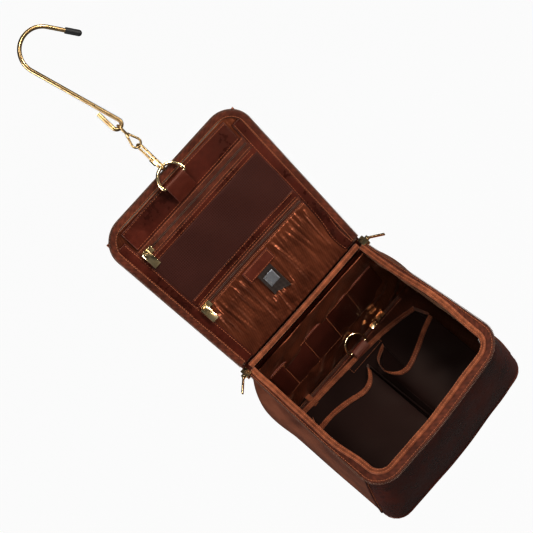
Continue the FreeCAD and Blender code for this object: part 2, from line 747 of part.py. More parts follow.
def make_inside():
    ceiling = "(-Sizes.fold_gap - Sizes.wall - Sizes.lining - 0.4)"
    slab("loop_strip", BOX, "-Sizes.loop_strip_width / 2", f"{ceiling} - Sizes.strip_leather",
         "-Sizes.loop_strip_far", "Sizes.loop_strip_width", "Sizes.strip_leather",
         "Sizes.loop_strip_far - Sizes.loop_strip_near")
    half = "Sizes.organizer_width / 2"
    slab("inner_zip_tape", BOX, f"-{half}", "-19", FLOOR_Z, "Sizes.organizer_width", "8", "Sizes.tape")
    coil = start_body("inner_zip_coil", BOX)
    rod(coil, "YZ_Plane", "-14", f"{FLOOR_Z} + Sizes.tape + Sizes.coil_radius", f"-{half}",
        "Sizes.coil_radius", "Sizes.organizer_width")
    slab("organizer_panel", BOX, f"-{half}", "-Sizes.pocket_bottom", ORGANIZER_Z,
         "Sizes.organizer_width", "Sizes.pocket_bottom - Sizes.organizer_top - 1", "Sizes.nylon")
    slab("organizer_strap", BOX, "-74", "-19.5", f"{FLOOR_Z} + Sizes.tape + 2 * Sizes.coil_radius + 0.1", "7",
         "10", "0.8")
    inside = f"({ORGANIZER_Z} + Sizes.nylon)"
    slab("pocket_divider", BOX, "-Sizes.nylon / 2", "-Sizes.pocket_bottom", inside, "Sizes.nylon",
         "Sizes.pocket_bottom - Sizes.left_pocket_top + 12", "Sizes.pocket_depth - 0.1")
    for name, side in (("left", -1), ("right", 1)):
        body = start_body(f"{name}_pocket", BOX)
        top = f"Sizes.{name}_pocket_top"
        tall = f"Sizes.pocket_bottom - {top}"
        x = f"-{half}" if side < 0 else "Sizes.nylon / 2 + 0.1"
        wide = f"{half} - Sizes.nylon / 2 - 0.1"
        block(body, x, "-Sizes.pocket_bottom", f"{inside} + Sizes.pocket_depth - Sizes.nylon", wide, tall,
              "Sizes.nylon")
        wall_x = f"-{half}" if side < 0 else f"{half} - Sizes.nylon"
        block(body, wall_x, "-Sizes.pocket_bottom", f"{inside} + 0.1", "Sizes.nylon", tall,
              "Sizes.pocket_depth - 0.1")
    slab("organizer_patch", BOX, "-15", "-36", inside, "52", "13", "0.8")
    tab = start_body("inner_ring_tab", BOX)
    bar = INNER_BAR
    boss = "(Sizes.inner_ring_wire_radius + Sizes.ring_running_gap + 1.6)"
    left = f"Sizes.inner_ring_x - {INNER_TAB_HALF}"
    rod(tab, "YZ_Plane", bar[0], bar[1], left, boss, f"2 * {INNER_TAB_HALF}")
    block(tab, left, "-32", f"{inside} + 0.8", f"2 * {INNER_TAB_HALF}", f"32 + {bar[0]}", "3")
    rod(tab, "YZ_Plane", bar[0], bar[1], f"{left} - 5",
        "Sizes.inner_ring_wire_radius + Sizes.ring_running_gap", f"2 * {INNER_TAB_HALF} + 10", cut=True)
    slab("blank_label", BOX, "Sizes.organizer_width / 2 + 4.5", "-190", "-70", "0.6", "16", "14")


INNER_TAB_HALF = 10.5
INNER_BAR = ("-22", f"({ORGANIZER_Z} + Sizes.nylon + 4.6)")

# ---------------------------------------------------------------- zip hardware

LID_COIL_TOP = f"({FACE_Z} + Sizes.tape + 2 * Sizes.coil_radius)"
SLIDER_SKIN = 1.6                # slider metal above a flat zip's coil
POST_OFFSET = 4                  # post of a hanging pull, left of the slider's middle
FLIP_PIN_OFFSET = 3              # crosswise pin, right of the slider's middle
FLIP_PIN_RISE = 1.9              # crosswise pin above the slider's top


def slider_shell(name, frame, x, y, coil_top):
    """Slider body astride a flat zip's coil; gives the body and its top's height."""
    length = s.slider_length
    width = s.slider_width
    slider = start_body(f"{name}_slider", frame)
    low = f"{coil_top} - 2 * Sizes.coil_radius + 0.15"
    tall = f"2 * Sizes.coil_radius + {SLIDER_SKIN}"
    block(slider, f"{x} - {length / 2}", f"{y} - {width / 2}", low, str(length), str(width), tall)
    groove = 2 * (s.coil_radius + s.slider_gap)
    block(slider, f"{x} - {length}", f"{y} - {groove / 2}", f"{low} - 1", str(2 * length), str(groove),
          "2 * Sizes.coil_radius + 1.1", cut=True)
    return slider, f"({low} + {tall})"


def hanging_slider(name, frame, x, y, coil_top):
    """Slider on a level zip of the lid; its pull hangs down from a headed post."""
    slider, top = slider_shell(name, frame, x, y, coil_top)
    post_x = f"{x} - {POST_OFFSET}"
    post(slider, post_x, y, top, "Sizes.pin_radius", "Sizes.pull_thickness + 0.5")
    post(slider, post_x, y, f"{top} + Sizes.pull_thickness + 0.5", "Sizes.pin_radius * 2", "0.6")
    pull = start_body(f"{name}_pull", frame)
    block(pull, f"{post_x} - Sizes.pull_width / 2", f"{y} - Sizes.pull_length + 2.5", f"{top} + 0.2",
          "Sizes.pull_width", "Sizes.pull_length", "Sizes.pull_thickness")
    post(pull, post_x, y, f"{top} - 1", "Sizes.pin_radius + Sizes.pin_gap", "Sizes.pull_thickness + 3",
         cut=True)


def flipping_slider(name, frame, x, y, coil_top):
    """Slider whose short pull lies along the zip and flips over on a crosswise pin."""
    slider, top = slider_shell(name, frame, x, y, coil_top)
    pin_x = f"({x} + {FLIP_PIN_OFFSET})"
    pin_z = f"({top} + {FLIP_PIN_RISE})"
    for low in ("2.7", "-3.5"):
        block(slider, f"{pin_x} - 1.6", f"{y} + {low}", top, "3.2", "0.8", f"{FLIP_PIN_RISE} + 1.6")
    rod(slider, "XZ_Plane", pin_x, pin_z, f"-({y}) - 3", "Sizes.pin_radius", "6")
    pull = start_body(f"{name}_pull", frame)
    rod(pull, "XZ_Plane", pin_x, pin_z, f"-({y}) - 2.5", "Sizes.pin_radius + 0.9", "5")
    half = "Sizes.pull_thickness / 2"
    block(pull, pin_x, f"{y} - 2.5", f"{pin_z} - {half}", "5", "5", "Sizes.pull_thickness")
    block(pull, f"{pin_x} + 4", f"{y} - 3.8", f"{pin_z} - {half}", "10.5", "7.6", "Sizes.pull_thickness")
    rod(pull, "XZ_Plane", pin_x, pin_z, f"-({y}) - 4", "Sizes.pin_radius + Sizes.pin_gap", "8", cut=True)


SLIDER_PARK = 1                  # middle of a parked main slider, past the fold


def mouth_slider(name, side):
    """Slider that wraps the mouth's coil from outside, with a leaf pull on a pin."""
    gap = s.slider_gap
    coil = s.mouth_coil_radius
    length = s.slider_length
    centre = side_x(SLIDER_PARK, coil)
    slider = start_body(f"slider_{name}", BOX)
    wall = 1.8
    reach = coil + gap + wall
    deep = -(s.mouth_tape_drop + s.tape / 2)
    tall = coil + gap + 1.4
    inner = centre - 4.5

    def slab_x(low, high):
        """Low x and width of a stretch given as distances outwards from x = 0."""
        return (low, high - low) if side > 0 else (-high, high - low)

    x, wide = slab_x(inner, centre + reach)
    block(slider, str(x), f"{-SLIDER_PARK - length / 2}", f"{deep} - {tall}", str(wide), str(length),
          f"{2 * tall}")
    x, wide = slab_x(inner - 5, centre + coil + gap)
    block(slider, str(x), f"{-SLIDER_PARK - length}", f"{deep} - {coil + gap}", str(wide), f"{2 * length}",
          f"{2 * (coil + gap)}", cut=True)
    x, wide = slab_x(centre + reach - 0.2, centre + reach + 3.4)
    for low in (deep - tall, deep + tall - 0.8):
        block(slider, str(x), f"{-SLIDER_PARK - 1.6}", str(low), str(wide), "3.2", "0.8")
    pin_x = side * (centre + reach + 2)
    post(slider, str(pin_x), str(-SLIDER_PARK), str(deep - tall), "Sizes.pin_radius", f"{2 * tall}")

    pull = doc.addObject("Part::Feature", f"pull_{name}")
    boss_z = deep - tall + 1
    boss_tall = 2 * tall - 2
    angle = math.radians(s.pull_rest_angle)
    along = Vector(side * math.sin(angle), -math.cos(angle), 0)
    across = Vector(-along.y, along.x, 0)
    centre_point = Vector(pin_x, -SLIDER_PARK, boss_z)
    boss = Part.makeCylinder(s.pin_radius + 0.9, boss_tall, centre_point)
    half = s.pull_thickness / 2
    corners = [centre_point - across * half, centre_point + along * s.pull_length - across * half,
               centre_point + along * s.pull_length + across * half, centre_point + across * half]
    leaf = Part.Face(Part.makePolygon(corners + corners[:1])).extrude(Vector(0, 0, boss_tall))
    bore = Part.makeCylinder(s.pin_radius + s.pin_gap, boss_tall + 2, centre_point - Vector(0, 0, 1))
    pull.Shape = boss.fuse(leaf).cut(bore).removeSplitter()
    pull.Label = f"pull_{name}"
    pull.setExpression("Placement", BOX)
    NODES.append(pull)


# ---------------------------------------------------------------- build

make_tip_cap(*make_hook())
make_link()
make_clip()
make_ring("lid_ring", RING, s.ring_half_width, s.ring_height, "Sizes.ring_wire_radius")
make_lid()
make_box()
make_piping()
make_inside()
INNER_LEAN = turned("1; 0; 0", "Sizes.inner_ring_lean")
INNER_RING = (f"{BOX} * " + placed("Sizes.inner_ring_x", *INNER_BAR, INNER_LEAN)
              + " * " + placed("0", "Sizes.inner_ring_height", "0"))
make_ring("inner_ring", INNER_RING, s.inner_ring_half_width, s.inner_ring_height,
          "Sizes.inner_ring_wire_radius")
zip_x = "-76"
hanging_slider("upper", LID, zip_x, "(Sizes.upper_zip_low + Sizes.top_panel_low) / 2", LID_COIL_TOP)
hanging_slider("lower", LID, zip_x, "(Sizes.lower_zip_low + Sizes.lower_welt_low) / 2", LID_COIL_TOP)
flipping_slider("inner", BOX, "47", "-14", f"({FLOOR_Z} + Sizes.tape + 2 * Sizes.coil_radius)")
mouth_slider("left", -1)
mouth_slider("right", 1)

doc.recompute()
failed = [item.Label for item in doc.Objects if {"Invalid", "Error"} & set(item.State)]
if failed:
    raise RuntimeError(f"failed objects: {failed}")
os.makedirs("parts", exist_ok=True)
for node in NODES:
    shape = node.Shape
    if shape.isNull() or not shape.isValid() or not shape.Solids:
        raise RuntimeError(f"{node.Label} has no valid solid")
    shape.exportStep(f"parts/{node.Label}.step")
    print(f"{node.Label}: {shape.Volume / 1000:.2f} cm3")
print(f"{len(NODES)} nodes")
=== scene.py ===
# %% [markdown]
# # A hanging toiletry bag, open on its hook
# A leather wash bag hangs from a wire hook.  Its lid hangs flat and upright, with a
# zip-closed mesh pocket over a gathered satin pocket.  The deep box below stands open,
# with a loop strip, an inner zip, a D-ring and two soft nylon pockets on its back wall.
# The measured frame of the bag is loaded first, so that every soft piece can be put
# where the solid one is.

# %% Load the frame
import json
import math
import bmesh
import bpy
import numpy as np
from mathutils import Matrix, Vector


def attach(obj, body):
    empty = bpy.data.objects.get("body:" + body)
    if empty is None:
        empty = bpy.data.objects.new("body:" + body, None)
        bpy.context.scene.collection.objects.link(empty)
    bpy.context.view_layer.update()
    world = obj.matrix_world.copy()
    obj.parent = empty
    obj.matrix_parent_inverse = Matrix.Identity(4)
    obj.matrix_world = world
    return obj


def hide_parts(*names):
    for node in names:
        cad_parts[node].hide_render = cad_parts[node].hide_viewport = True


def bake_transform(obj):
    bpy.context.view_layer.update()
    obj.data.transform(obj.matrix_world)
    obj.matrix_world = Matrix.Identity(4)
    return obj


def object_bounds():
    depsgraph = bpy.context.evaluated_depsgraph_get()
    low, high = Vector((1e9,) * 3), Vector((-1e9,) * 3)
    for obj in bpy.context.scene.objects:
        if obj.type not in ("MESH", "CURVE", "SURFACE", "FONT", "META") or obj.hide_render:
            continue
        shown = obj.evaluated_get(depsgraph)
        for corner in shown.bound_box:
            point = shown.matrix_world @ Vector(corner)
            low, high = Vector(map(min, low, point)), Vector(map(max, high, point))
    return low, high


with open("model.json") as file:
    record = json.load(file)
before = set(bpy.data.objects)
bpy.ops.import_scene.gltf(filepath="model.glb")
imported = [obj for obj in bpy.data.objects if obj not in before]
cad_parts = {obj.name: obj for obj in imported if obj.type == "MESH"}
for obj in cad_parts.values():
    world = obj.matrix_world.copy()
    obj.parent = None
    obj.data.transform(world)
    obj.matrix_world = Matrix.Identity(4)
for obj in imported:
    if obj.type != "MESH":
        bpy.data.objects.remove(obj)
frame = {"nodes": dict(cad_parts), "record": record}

CAD_BOX = [list(corner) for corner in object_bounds()]
MM = 0.001

# %% [markdown]
# ## Two slanted frames
# The lid and the box are both straight pieces that hang at an angle, so their parts are
# far easier to describe in frames of their own.  Both frames start at the fold, with x
# across the bag.  In the lid's frame y runs up the lid and z comes out of the lining.
# In the box's frame y runs along the mouth, from the fold down to the far edge, where it
# is negative, and z comes out of the mouth.  The joints in the record give the fold's
# place and the direction of both z axes, so no angle is typed in.  Lengths inside the
# frames are millimetres.

# %% Lid and box frames
JOINTS = {j["name"]: j for j in frame["record"]["behaviour"]["joints"]}
FOLD = np.array(JOINTS["fold"]["pos_m"])


class Local:
    """A slanted frame at the fold: x across, z along `out`, y square to both."""

    def __init__(self, out, askew=0.0):
        z = np.array(out) / np.linalg.norm(out)
        self.askew = askew
        x = np.array([1.0, 0.0, 0.0])
        self.axes = np.array([x, np.cross(z, x), z])

    def world(self, points):
        """Millimetres in this frame to metres in the row's frame: fold + x ex + y ey + z ez.

        A soft box also hangs askew: y shrinks by the share askew * ease(x) on its right half.
        """
        points = np.array(points, float)
        ease = np.clip((points[..., 0] + 30) / 140, 0, 1) ** 1.5
        points[..., 1] *= 1 - self.askew * ease
        return FOLD + (points * MM) @ self.axes

    def back(self, points):
        """Metres in the row's frame to millimetres in this one, the inverse of world."""
        return (np.asarray(points, float) - FOLD) @ self.axes.T / MM

    def reach(self, node):
        """Lowest and highest corner of a node in this frame, in millimetres."""
        mesh = frame["nodes"][node].data
        flat = np.empty(len(mesh.vertices) * 3)
        mesh.vertices.foreach_get("co", flat)
        local = self.back(flat.reshape(-1, 3))
        return local.min(axis=0), local.max(axis=0)


LID = Local(JOINTS["upper_pull_swing"]["axis"])
BOX = Local(JOINTS["pull_left_swing"]["axis"], askew=0.055)
print("lid shell spans", LID.reach("lid_shell"))
print("back panel spans", BOX.reach("back_panel"))

# %% [markdown]
# ## Grids, bands and stitches
# Leather, cloth and tape are all thin curved surfaces, so one helper is enough for them:
# a grid of points worked out as whole arrays, which becomes a mesh of four-sided faces.
# The helper also writes a UV map that measures metres along both directions of the grid.
# A weave drawn on that map keeps its thread size on every piece, however it is turned.

# %% Grid to mesh
def faces_of(rows, cols, wrap_rows=False, wrap_cols=False):
    """Corner numbers of the grid's faces: each cell joins a point to the next ones."""
    i = np.arange(rows if wrap_rows else rows - 1)[:, None]
    j = np.arange(cols if wrap_cols else cols - 1)[None, :]
    i2, j2 = (i + 1) % rows, (j + 1) % cols
    quads = np.stack([i * cols + j, i * cols + j2, i2 * cols + j2, i2 * cols + j], axis=-1)
    return quads.reshape(-1, 4)


def mesh_piece(name, points, quads, uv=None, smooth=True):
    """A mesh object from points (n, 3) in metres and faces (m, 4), with its UV map."""
    mesh = bpy.data.meshes.new(name)
    mesh.from_pydata(points.tolist(), [], quads.tolist())
    if uv is not None:
        layer = mesh.uv_layers.new(name="UVMap")
        corner = np.empty(len(mesh.loops), dtype=np.int32)
        mesh.loops.foreach_get("vertex_index", corner)
        layer.data.foreach_set("uv", uv[corner].astype(np.float32).ravel())
    mesh.polygons.foreach_set("use_smooth", np.full(len(mesh.polygons), smooth))
    mesh.update()
    piece = bpy.data.objects.new(name, mesh)
    bpy.context.scene.collection.objects.link(piece)
    return piece


def run_lengths(points, axis):
    """Distance travelled along one direction of the grid, averaged over the other."""
    steps = np.linalg.norm(np.diff(points, axis=axis), axis=-1).mean(axis=1 - axis)
    return np.concatenate([[0.0], np.cumsum(steps)])


def dress(piece, body, finish, nodes=()):
    """Gives a piece its finish, its body and the solid pieces that it stands for."""
    slot, material = finish
    piece.data.materials.clear()
    piece.data.materials.append(material)
    if body:
        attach(piece, body)
    if nodes:
        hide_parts(*nodes)
    return piece


def sheet_piece(name, points, body, finish, nodes=(), local=None, wrap=(False, False), thick=0.0,
                away=None, smooth=True):
    """A grid of points (rows, cols, 3) as one surface, thickened by `thick` mm if asked.

    The faces are turned to point away from a given place: the place behind the lid's
    face unless told otherwise, or the middle of a closed piece.
    """
    points = np.asarray(points, float)
    world = local.world(points) if local else points * MM
    rows, cols = world.shape[:2]
    quads = faces_of(rows, cols, *wrap)
    across, along = np.meshgrid(run_lengths(world, 1), run_lengths(world, 0))
    uv = np.stack([across, along], axis=-1).reshape(-1, 2)
    flat = world.reshape(-1, 3)
    if away is None and local is LID and not any(wrap):
        away = (0.0, 110.0, -60.0)
    behind = flat.mean(axis=0) if away is None else (local.world(away) if local else np.array(away) * MM)
    corner = flat[quads]
    facing = np.cross(corner[:, 2] - corner[:, 0], corner[:, 3] - corner[:, 1])
    if np.sum((corner.mean(axis=1) - behind) * facing) < 0:
        quads = quads[:, ::-1]
    piece = mesh_piece(name, flat, quads, uv, smooth)
    if thick:
        wall = piece.modifiers.new("wall", "SOLIDIFY")
        wall.thickness = thick * MM
        wall.offset = -1.0
    return dress(piece, body, finish, nodes)


def cloth(piece, held, rests_on=()):
    """Prints a sheet of cloth's flat size, the run of its grid, and how it is held; its area, that of its
    faces, is worked out but not used.
    """
    mesh = piece.data
    uv = np.empty(len(mesh.loops) * 2, dtype=np.float32)
    mesh.uv_layers[0].data.foreach_get("uv", uv)
    width, length = uv.reshape(-1, 2).max(axis=0).tolist()
    area = sum(face.area for face in mesh.polygons)
    area = min(area, 0.999 * width * length)
    list(rests_on)
    print(f"{piece.name}: cloth of {1000 * width:.0f} x {1000 * length:.0f} mm, {held}")


def closed(points):
    """Shuts both ends of a tube-like grid (rings are rows) with a point at each middle."""
    first = np.repeat(points[:1].mean(axis=1, keepdims=True), points.shape[1], axis=1)
    last = np.repeat(points[-1:].mean(axis=1, keepdims=True), points.shape[1], axis=1)
    return np.concatenate([first, points, last])


def ripple(x, y, seed, waves=7, low=0.5, high=2.0):
    """Smooth uneven relief from -1 to 1: a sum of sine waves in seeded directions."""
    rng = np.random.default_rng(seed)
    angle = rng.uniform(0, 2 * np.pi, waves)
    rate = rng.uniform(low, high, waves)
    phase = rng.uniform(0, 2 * np.pi, waves)
    total = 0
    for a, r, p in zip(angle, rate, phase):
        total = total + np.sin(r * (x * np.cos(a) + y * np.sin(a)) + p)
    return total / waves ** 0.75

# %% [markdown]
# ## Shader maths as expressions
# A finish is a small sum: a base tone, plus a darker tone where a noise is low, and a
# height that a Bump node turns into tilt.  Wiring that by hand hides the sum, so one
# small class wraps a node's output and lets + - * and / add the Math nodes.  Colours are
# mixed with Mix nodes, because a Math node would turn them grey.

# %% The shader class
class Shade:
    """An output socket of a material.  Arithmetic on it adds Math nodes to its tree."""

    def __init__(self, tree, socket):
        self.tree = tree
        self.socket = socket

    def math(self, operation, *values):
        return node(self.tree, "ShaderNodeMath", {"operation": operation}, dict(enumerate(values)))

    def __add__(self, other):
        return self.math("ADD", self, other)

    def __sub__(self, other):
        return self.math("SUBTRACT", self, other)

    def __rsub__(self, other):
        return self.math("SUBTRACT", other, self)

    def __mul__(self, other):
        return self.math("MULTIPLY", self, other)

    __radd__ = __add__
    __rmul__ = __mul__


def node(tree, kind, settings=None, values=None, out=0):
    """Adds a node: its settings first, then the value or link of each socket named."""
    made = tree.nodes.new(kind)
    for key, value in (settings or {}).items():
        setattr(made, key, value)
    for key, value in (values or {}).items():
        if isinstance(value, Shade):
            tree.links.new(value.socket, made.inputs[key])
        else:
            made.inputs[key].default_value = value
    return Shade(tree, made.outputs[out])


class Finish:
    """A material on Principled BSDF, with the coordinates and noises it is made from."""

    def __init__(self, name, slot, **constants):
        self.slot = slot
        self.material = bpy.data.materials.new(name)
        self.material.use_nodes = True
        self.tree = self.material.node_tree
        self.shader = self.tree.nodes["Principled BSDF"]
        where = self.tree.nodes.new("ShaderNodeTexCoord")
        self.place = Shade(self.tree, where.outputs["Object"])
        self.cloth = Shade(self.tree, where.outputs["UV"])
        for key, value in constants.items():
            self.shader.inputs[key.replace("_", " ")].default_value = value

    def node(self, kind, settings=None, values=None, out=0):
        return node(self.tree, kind, settings, values, out)

    def noise(self, scale, detail=3.0, where=None, roughness=0.5):
        """Cloudy value near 0.5 whose lumps are about 1 / scale metres wide."""
        return self.node("ShaderNodeTexNoise", {}, {"Vector": where or self.place, "Scale": scale,
                                                     "Detail": detail, "Roughness": roughness})

    def stretched(self, where, scale):
        """The coordinates multiplied along x, y and z."""
        return self.node("ShaderNodeMapping", {"vector_type": "POINT"}, {"Vector": where, "Scale": scale})

    def mix(self, share, low, high):
        """Colour low where share is 0 and high where it is 1."""
        first = low if isinstance(low, Shade) else (*low, 1.0)
        second = high if isinstance(high, Shade) else (*high, 1.0)
        return self.node("ShaderNodeMix", {"data_type": "RGBA"}, {0: share, 6: first, 7: second}, out=2)

    def between(self, value, low, high, to_low=0.0, to_high=1.0):
        """The value carried from low..high to to_low..to_high, and held at the ends."""
        return self.node("ShaderNodeMapRange", {}, {0: value, 1: low, 2: high, 3: to_low, 4: to_high})

    def feed(self, socket, value):
        self.tree.links.new(value.socket, self.shader.inputs[socket])

    def relief(self, height, depth_mm, strength=1.0):
        """Tilts the surface by a height from 0 to 1 that stands for depth_mm."""
        self.feed("Normal", self.node("ShaderNodeBump", {}, {"Height": height, "Distance": depth_mm * MM,
                                                              "Strength": strength}))

    def pair(self):
        return self.slot, self.material


# %% [markdown]
# ## Leather
# The hide is polished, very dark red-brown calf.  Close to, it has a pebble grain of
# about a millimetre and a few soft creases; from a step away, cloudy patches of redder
# and blacker brown show where the dye took differently.  The grain is a Voronoi pattern,
# whose cells are the pebbles, and the creases are a stretched noise.  Rubbed places are
# glossier, so the same clouds that change the colour also change the roughness.

# %% Leather finishes
def leather(name, slot, dark, warm, gloss=0.34, coat=0.25):
    """Pebbled hide: cloud-mixed tones, Voronoi pebbles, soft creases."""
    hide = Finish(name, slot, Coat_Weight=coat, Coat_Roughness=0.30, Coat_Tint=(1.0, 0.8, 0.7, 1.0),
                  Specular_IOR_Level=0.45, Specular_Tint=(1.0, 0.62, 0.48, 1.0))
    clouds = hide.noise(22.0, 5.0)
    fine = hide.noise(170.0, 4.0)
    share = hide.between(clouds * 0.75 + fine * 0.25, 0.36, 0.66)
    pebbles = hide.node("ShaderNodeTexVoronoi", {"feature": "DISTANCE_TO_EDGE"},
                        {"Vector": hide.place, "Scale": 950.0})
    grain = hide.between(pebbles, 0.0, 0.14)
    creases = hide.noise(1.0, 6.0, hide.stretched(hide.place, (75.0, 75.0, 38.0)), 0.62)
    fold_lines = hide.between(creases.math("ABSOLUTE", creases - 0.5), 0.0, 0.035)
    hide.feed("Base Color", hide.mix(grain * 0.35 + 0.65, tuple(0.45 * c for c in dark),
                                     hide.mix(share, dark, warm)))
    hide.feed("Roughness", hide.between(clouds + fine * 0.5, 0.55, 0.95, gloss - 0.09, gloss + 0.13))
    hide.relief(grain * 0.3 + fold_lines * 0.12 + clouds * 0.8, 0.5, 0.4)
    return hide.pair()


HIDE = leather("polished_leather", "leather_dark", (0.019, 0.0030, 0.0015), (0.075, 0.0125, 0.0060), 0.30,
               0.05)
# The gussets are the same dark hide, but this copy is several times lighter: painted light, for the glow they
# catch from the side and from the pale floor.
LIT_GUSSET_HIDE = leather("gusset_leather_painted_light", "leather_dark", (0.075, 0.024, 0.013), (0.165, 0.060, 0.032), 0.40,
                    0.04)
RED_HIDE = leather("trim_leather", "leather_red", (0.046, 0.0080, 0.0042), (0.094, 0.021, 0.011), 0.38, 0.12)
print("leathers:", HIDE[1].name, LIT_GUSSET_HIDE[1].name, RED_HIDE[1].name)

# %% [markdown]
# ## Cloth
# Five cloths are used.  Satin has threads too fine to see, so what shows is its soft
# shine and the folds.  Zip tape and the folded binding are ribbed, and nylon and mesh
# are plain weaves.  Each weave is two wave patterns at right angles on the UV map, which
# is in metres, so a scale of 700 gives 700 threads to the metre.

# %% Cloth finishes
def threads(cloth, across, along, slant=0.0):
    """Two crossed thread directions, each a rounded ridge from 0 to 1."""
    turned = cloth.node("ShaderNodeMapping", {}, {"Vector": cloth.cloth, "Rotation": (0.0, 0.0, slant)})
    waves = []
    for direction, rate in (("X", across), ("Y", along)):
        waves.append(cloth.node("ShaderNodeTexWave", {"bands_direction": direction},
                                {"Vector": turned, "Scale": rate / 20.0, "Distortion": 0.0}, out=1))
    return waves


def woven(name, slot, dark, light, across, along, rough, depth, slant=0.0, sheen=0.2, patches=26.0):
    """Plain or ribbed cloth: threads darken their gaps, clouds wear the tone."""
    cloth = Finish(name, slot, Sheen_Weight=sheen, Sheen_Roughness=0.45, Sheen_Tint=(1.0, 0.75, 0.6, 1.0),
                   Specular_IOR_Level=0.22, Specular_Tint=(1.0, 0.72, 0.6, 1.0))
    warp, weft = threads(cloth, across, along, slant)
    weave = warp * 0.5 + weft * 0.5
    worn = cloth.between(cloth.noise(patches, 5.0), 0.35, 0.68)
    base = cloth.mix(worn, dark, light)
    cloth.feed("Base Color", cloth.mix(weave * 0.55 + 0.45, tuple(0.35 * c for c in dark), base))
    cloth.feed("Roughness", worn * 0.12 + (rough - 0.06))
    cloth.relief(weave + worn * 0.3, depth, 0.6)
    return cloth.pair()


TAPE = woven("zip_tape_weave", "zip_tape", (0.048, 0.0115, 0.0062), (0.120, 0.033, 0.017), 1400.0, 700.0, 0.6,
             0.18, 0.6)
BINDING = woven("folded_binding", "binding", (0.110, 0.031, 0.014), (0.270, 0.094, 0.044), 1100.0, 500.0,
                0.58, 0.3)
NYLON = woven("pocket_nylon", "nylon", (0.0065, 0.0016, 0.0012), (0.0150, 0.0042, 0.0032), 2600.0, 2600.0,
              0.60, 0.06, sheen=0.03, patches=14.0)
LABEL = woven("white_label", "label", (0.55, 0.53, 0.49), (0.72, 0.70, 0.66), 1500.0, 1500.0, 0.7, 0.1)
TAG = woven("black_tag", "label", (0.015, 0.011, 0.010), (0.045, 0.036, 0.032), 1300.0, 1300.0, 0.55, 0.12)


def satin(name, slot, dark, light):
    """Glossy satin: near-invisible twill, broad sheen, slightly uneven tone."""
    cloth = Finish(name, slot, Sheen_Weight=0.2, Sheen_Roughness=0.3, Specular_IOR_Level=0.9,
                   Sheen_Tint=(1.0, 0.62, 0.4, 1.0), Specular_Tint=(1.0, 0.62, 0.42, 1.0), Metallic=0.55)
    warp, weft = threads(cloth, 2400.0, 1400.0, 0.35)
    tone = cloth.between(cloth.noise(34.0, 4.0), 0.3, 0.7)
    pulls = cloth.noise(1.0, 3.0, cloth.stretched(cloth.cloth, (190.0, 26.0, 1.0)))
    cloth.feed("Base Color", cloth.mix(tone * 0.7 + warp * 0.3, dark, light))
    cloth.feed("Roughness", pulls * 0.16 + 0.23)
    cloth.relief(weft * 0.06 + pulls * 0.94, 1.5, 0.7)
    return cloth.pair()


SATIN = satin("lining_satin", "satin", (0.070, 0.0165, 0.0070), (0.190, 0.056, 0.025))
# A darker copy of the same satin for the box's floor: painted shade, for the shadow deep inside the box.
SHADED_SATIN = satin("floor_satin_painted_shade", "satin", (0.040, 0.011, 0.006), (0.080, 0.024, 0.013))


def net(name, slot, tone):
    """Open mesh: round holes let the satin behind show through."""
    cloth = Finish(name, slot, Roughness=0.5, Sheen_Weight=0.1, Sheen_Tint=(1.0, 0.6, 0.5, 1.0),
                   Specular_Tint=(1.0, 0.6, 0.5, 1.0))
    warp, weft = threads(cloth, 2600.0, 2600.0)
    strand = cloth.between(warp.math("MAXIMUM", warp, weft), 0.45, 0.75)
    cloud = cloth.noise(30.0, 3.0)
    cloth.feed("Base Color", cloth.mix(cloud, tone, tuple(1.9 * c for c in tone)))
    cloth.feed("Alpha", strand * 0.3 + 0.62)
    cloth.relief(strand, 0.1, 0.4)
    return cloth.pair()


MESH = net("pocket_mesh", "mesh", (0.022, 0.0055, 0.0040))
print("cloths: tape, binding, nylon, satin, mesh and labels")

# %% [markdown]
# ## Thread, zip teeth, metal and rubber
# Thread is one thick orange-brown yarn, so a twist along it is enough.  The hook, link
# and clip are drawn brass wire that has darkened; the D-rings, sliders and pulls are
# plated a paler gold.  Metal needs little colour change but an uneven roughness, or it
# looks like glass.

# %% Hard finishes
def metal(name, slot, bright, dull, rough, scratch=160.0):
    """Plated or drawn metal: tarnish clouds and fine lines in the polish."""
    plate = Finish(name, slot, Metallic=1.0)
    tarnish = plate.between(plate.noise(120.0, 5.0), 0.4, 0.72)
    lines = plate.noise(1.0, 2.0, plate.stretched(plate.place, (1500.0, 1500.0, scratch)))
    plate.feed("Base Color", plate.mix(tarnish, bright, dull))
    plate.feed("Roughness", tarnish * 0.14 + lines * 0.1 + (rough - 0.08))
    plate.relief(lines, 0.02, 0.2)
    return plate.pair()


def plain(name, slot, dark, light, rough, scale, depth):
    """Rubber, plastic or thread: two close tones and a fine lumpy surface."""
    stuff = Finish(name, slot, Specular_IOR_Level=0.4)
    lumps = stuff.noise(scale, 4.0)
    stuff.feed("Base Color", stuff.mix(stuff.between(lumps, 0.35, 0.65), dark, light))
    stuff.feed("Roughness", lumps * 0.2 + (rough - 0.1))
    stuff.relief(lumps, depth, 0.5)
    return stuff.pair()


ANTIQUE = metal("drawn_brass", "brass_wire", (0.46, 0.33, 0.17), (0.24, 0.16, 0.08), 0.30)
GOLD = metal("pale_gold_plate", "pale_gold", (0.88, 0.72, 0.44), (0.66, 0.48, 0.24), 0.20)
RUBBER = plain("black_rubber", "rubber_black", (0.003, 0.003, 0.003), (0.010, 0.010, 0.010), 0.55, 900.0, 0.1)
THREAD = plain("orange_thread", "binding", (0.20, 0.062, 0.022), (0.36, 0.130, 0.052), 0.6, 1800.0, 0.12)
TEETH = plain("brown_zip_teeth", "zip_coil", (0.055, 0.026, 0.017), (0.120, 0.062, 0.040), 0.38, 700.0, 0.06)
FIBRE = plain("fibre_board", "board", (0.10, 0.08, 0.06), (0.16, 0.13, 0.10), 0.85, 500.0, 0.2)
SILVER = metal("silver_foil", "label", (0.72, 0.72, 0.74), (0.48, 0.50, 0.54), 0.28)
print("hard finishes:", ANTIQUE[1].name, GOLD[1].name, RUBBER[1].name)

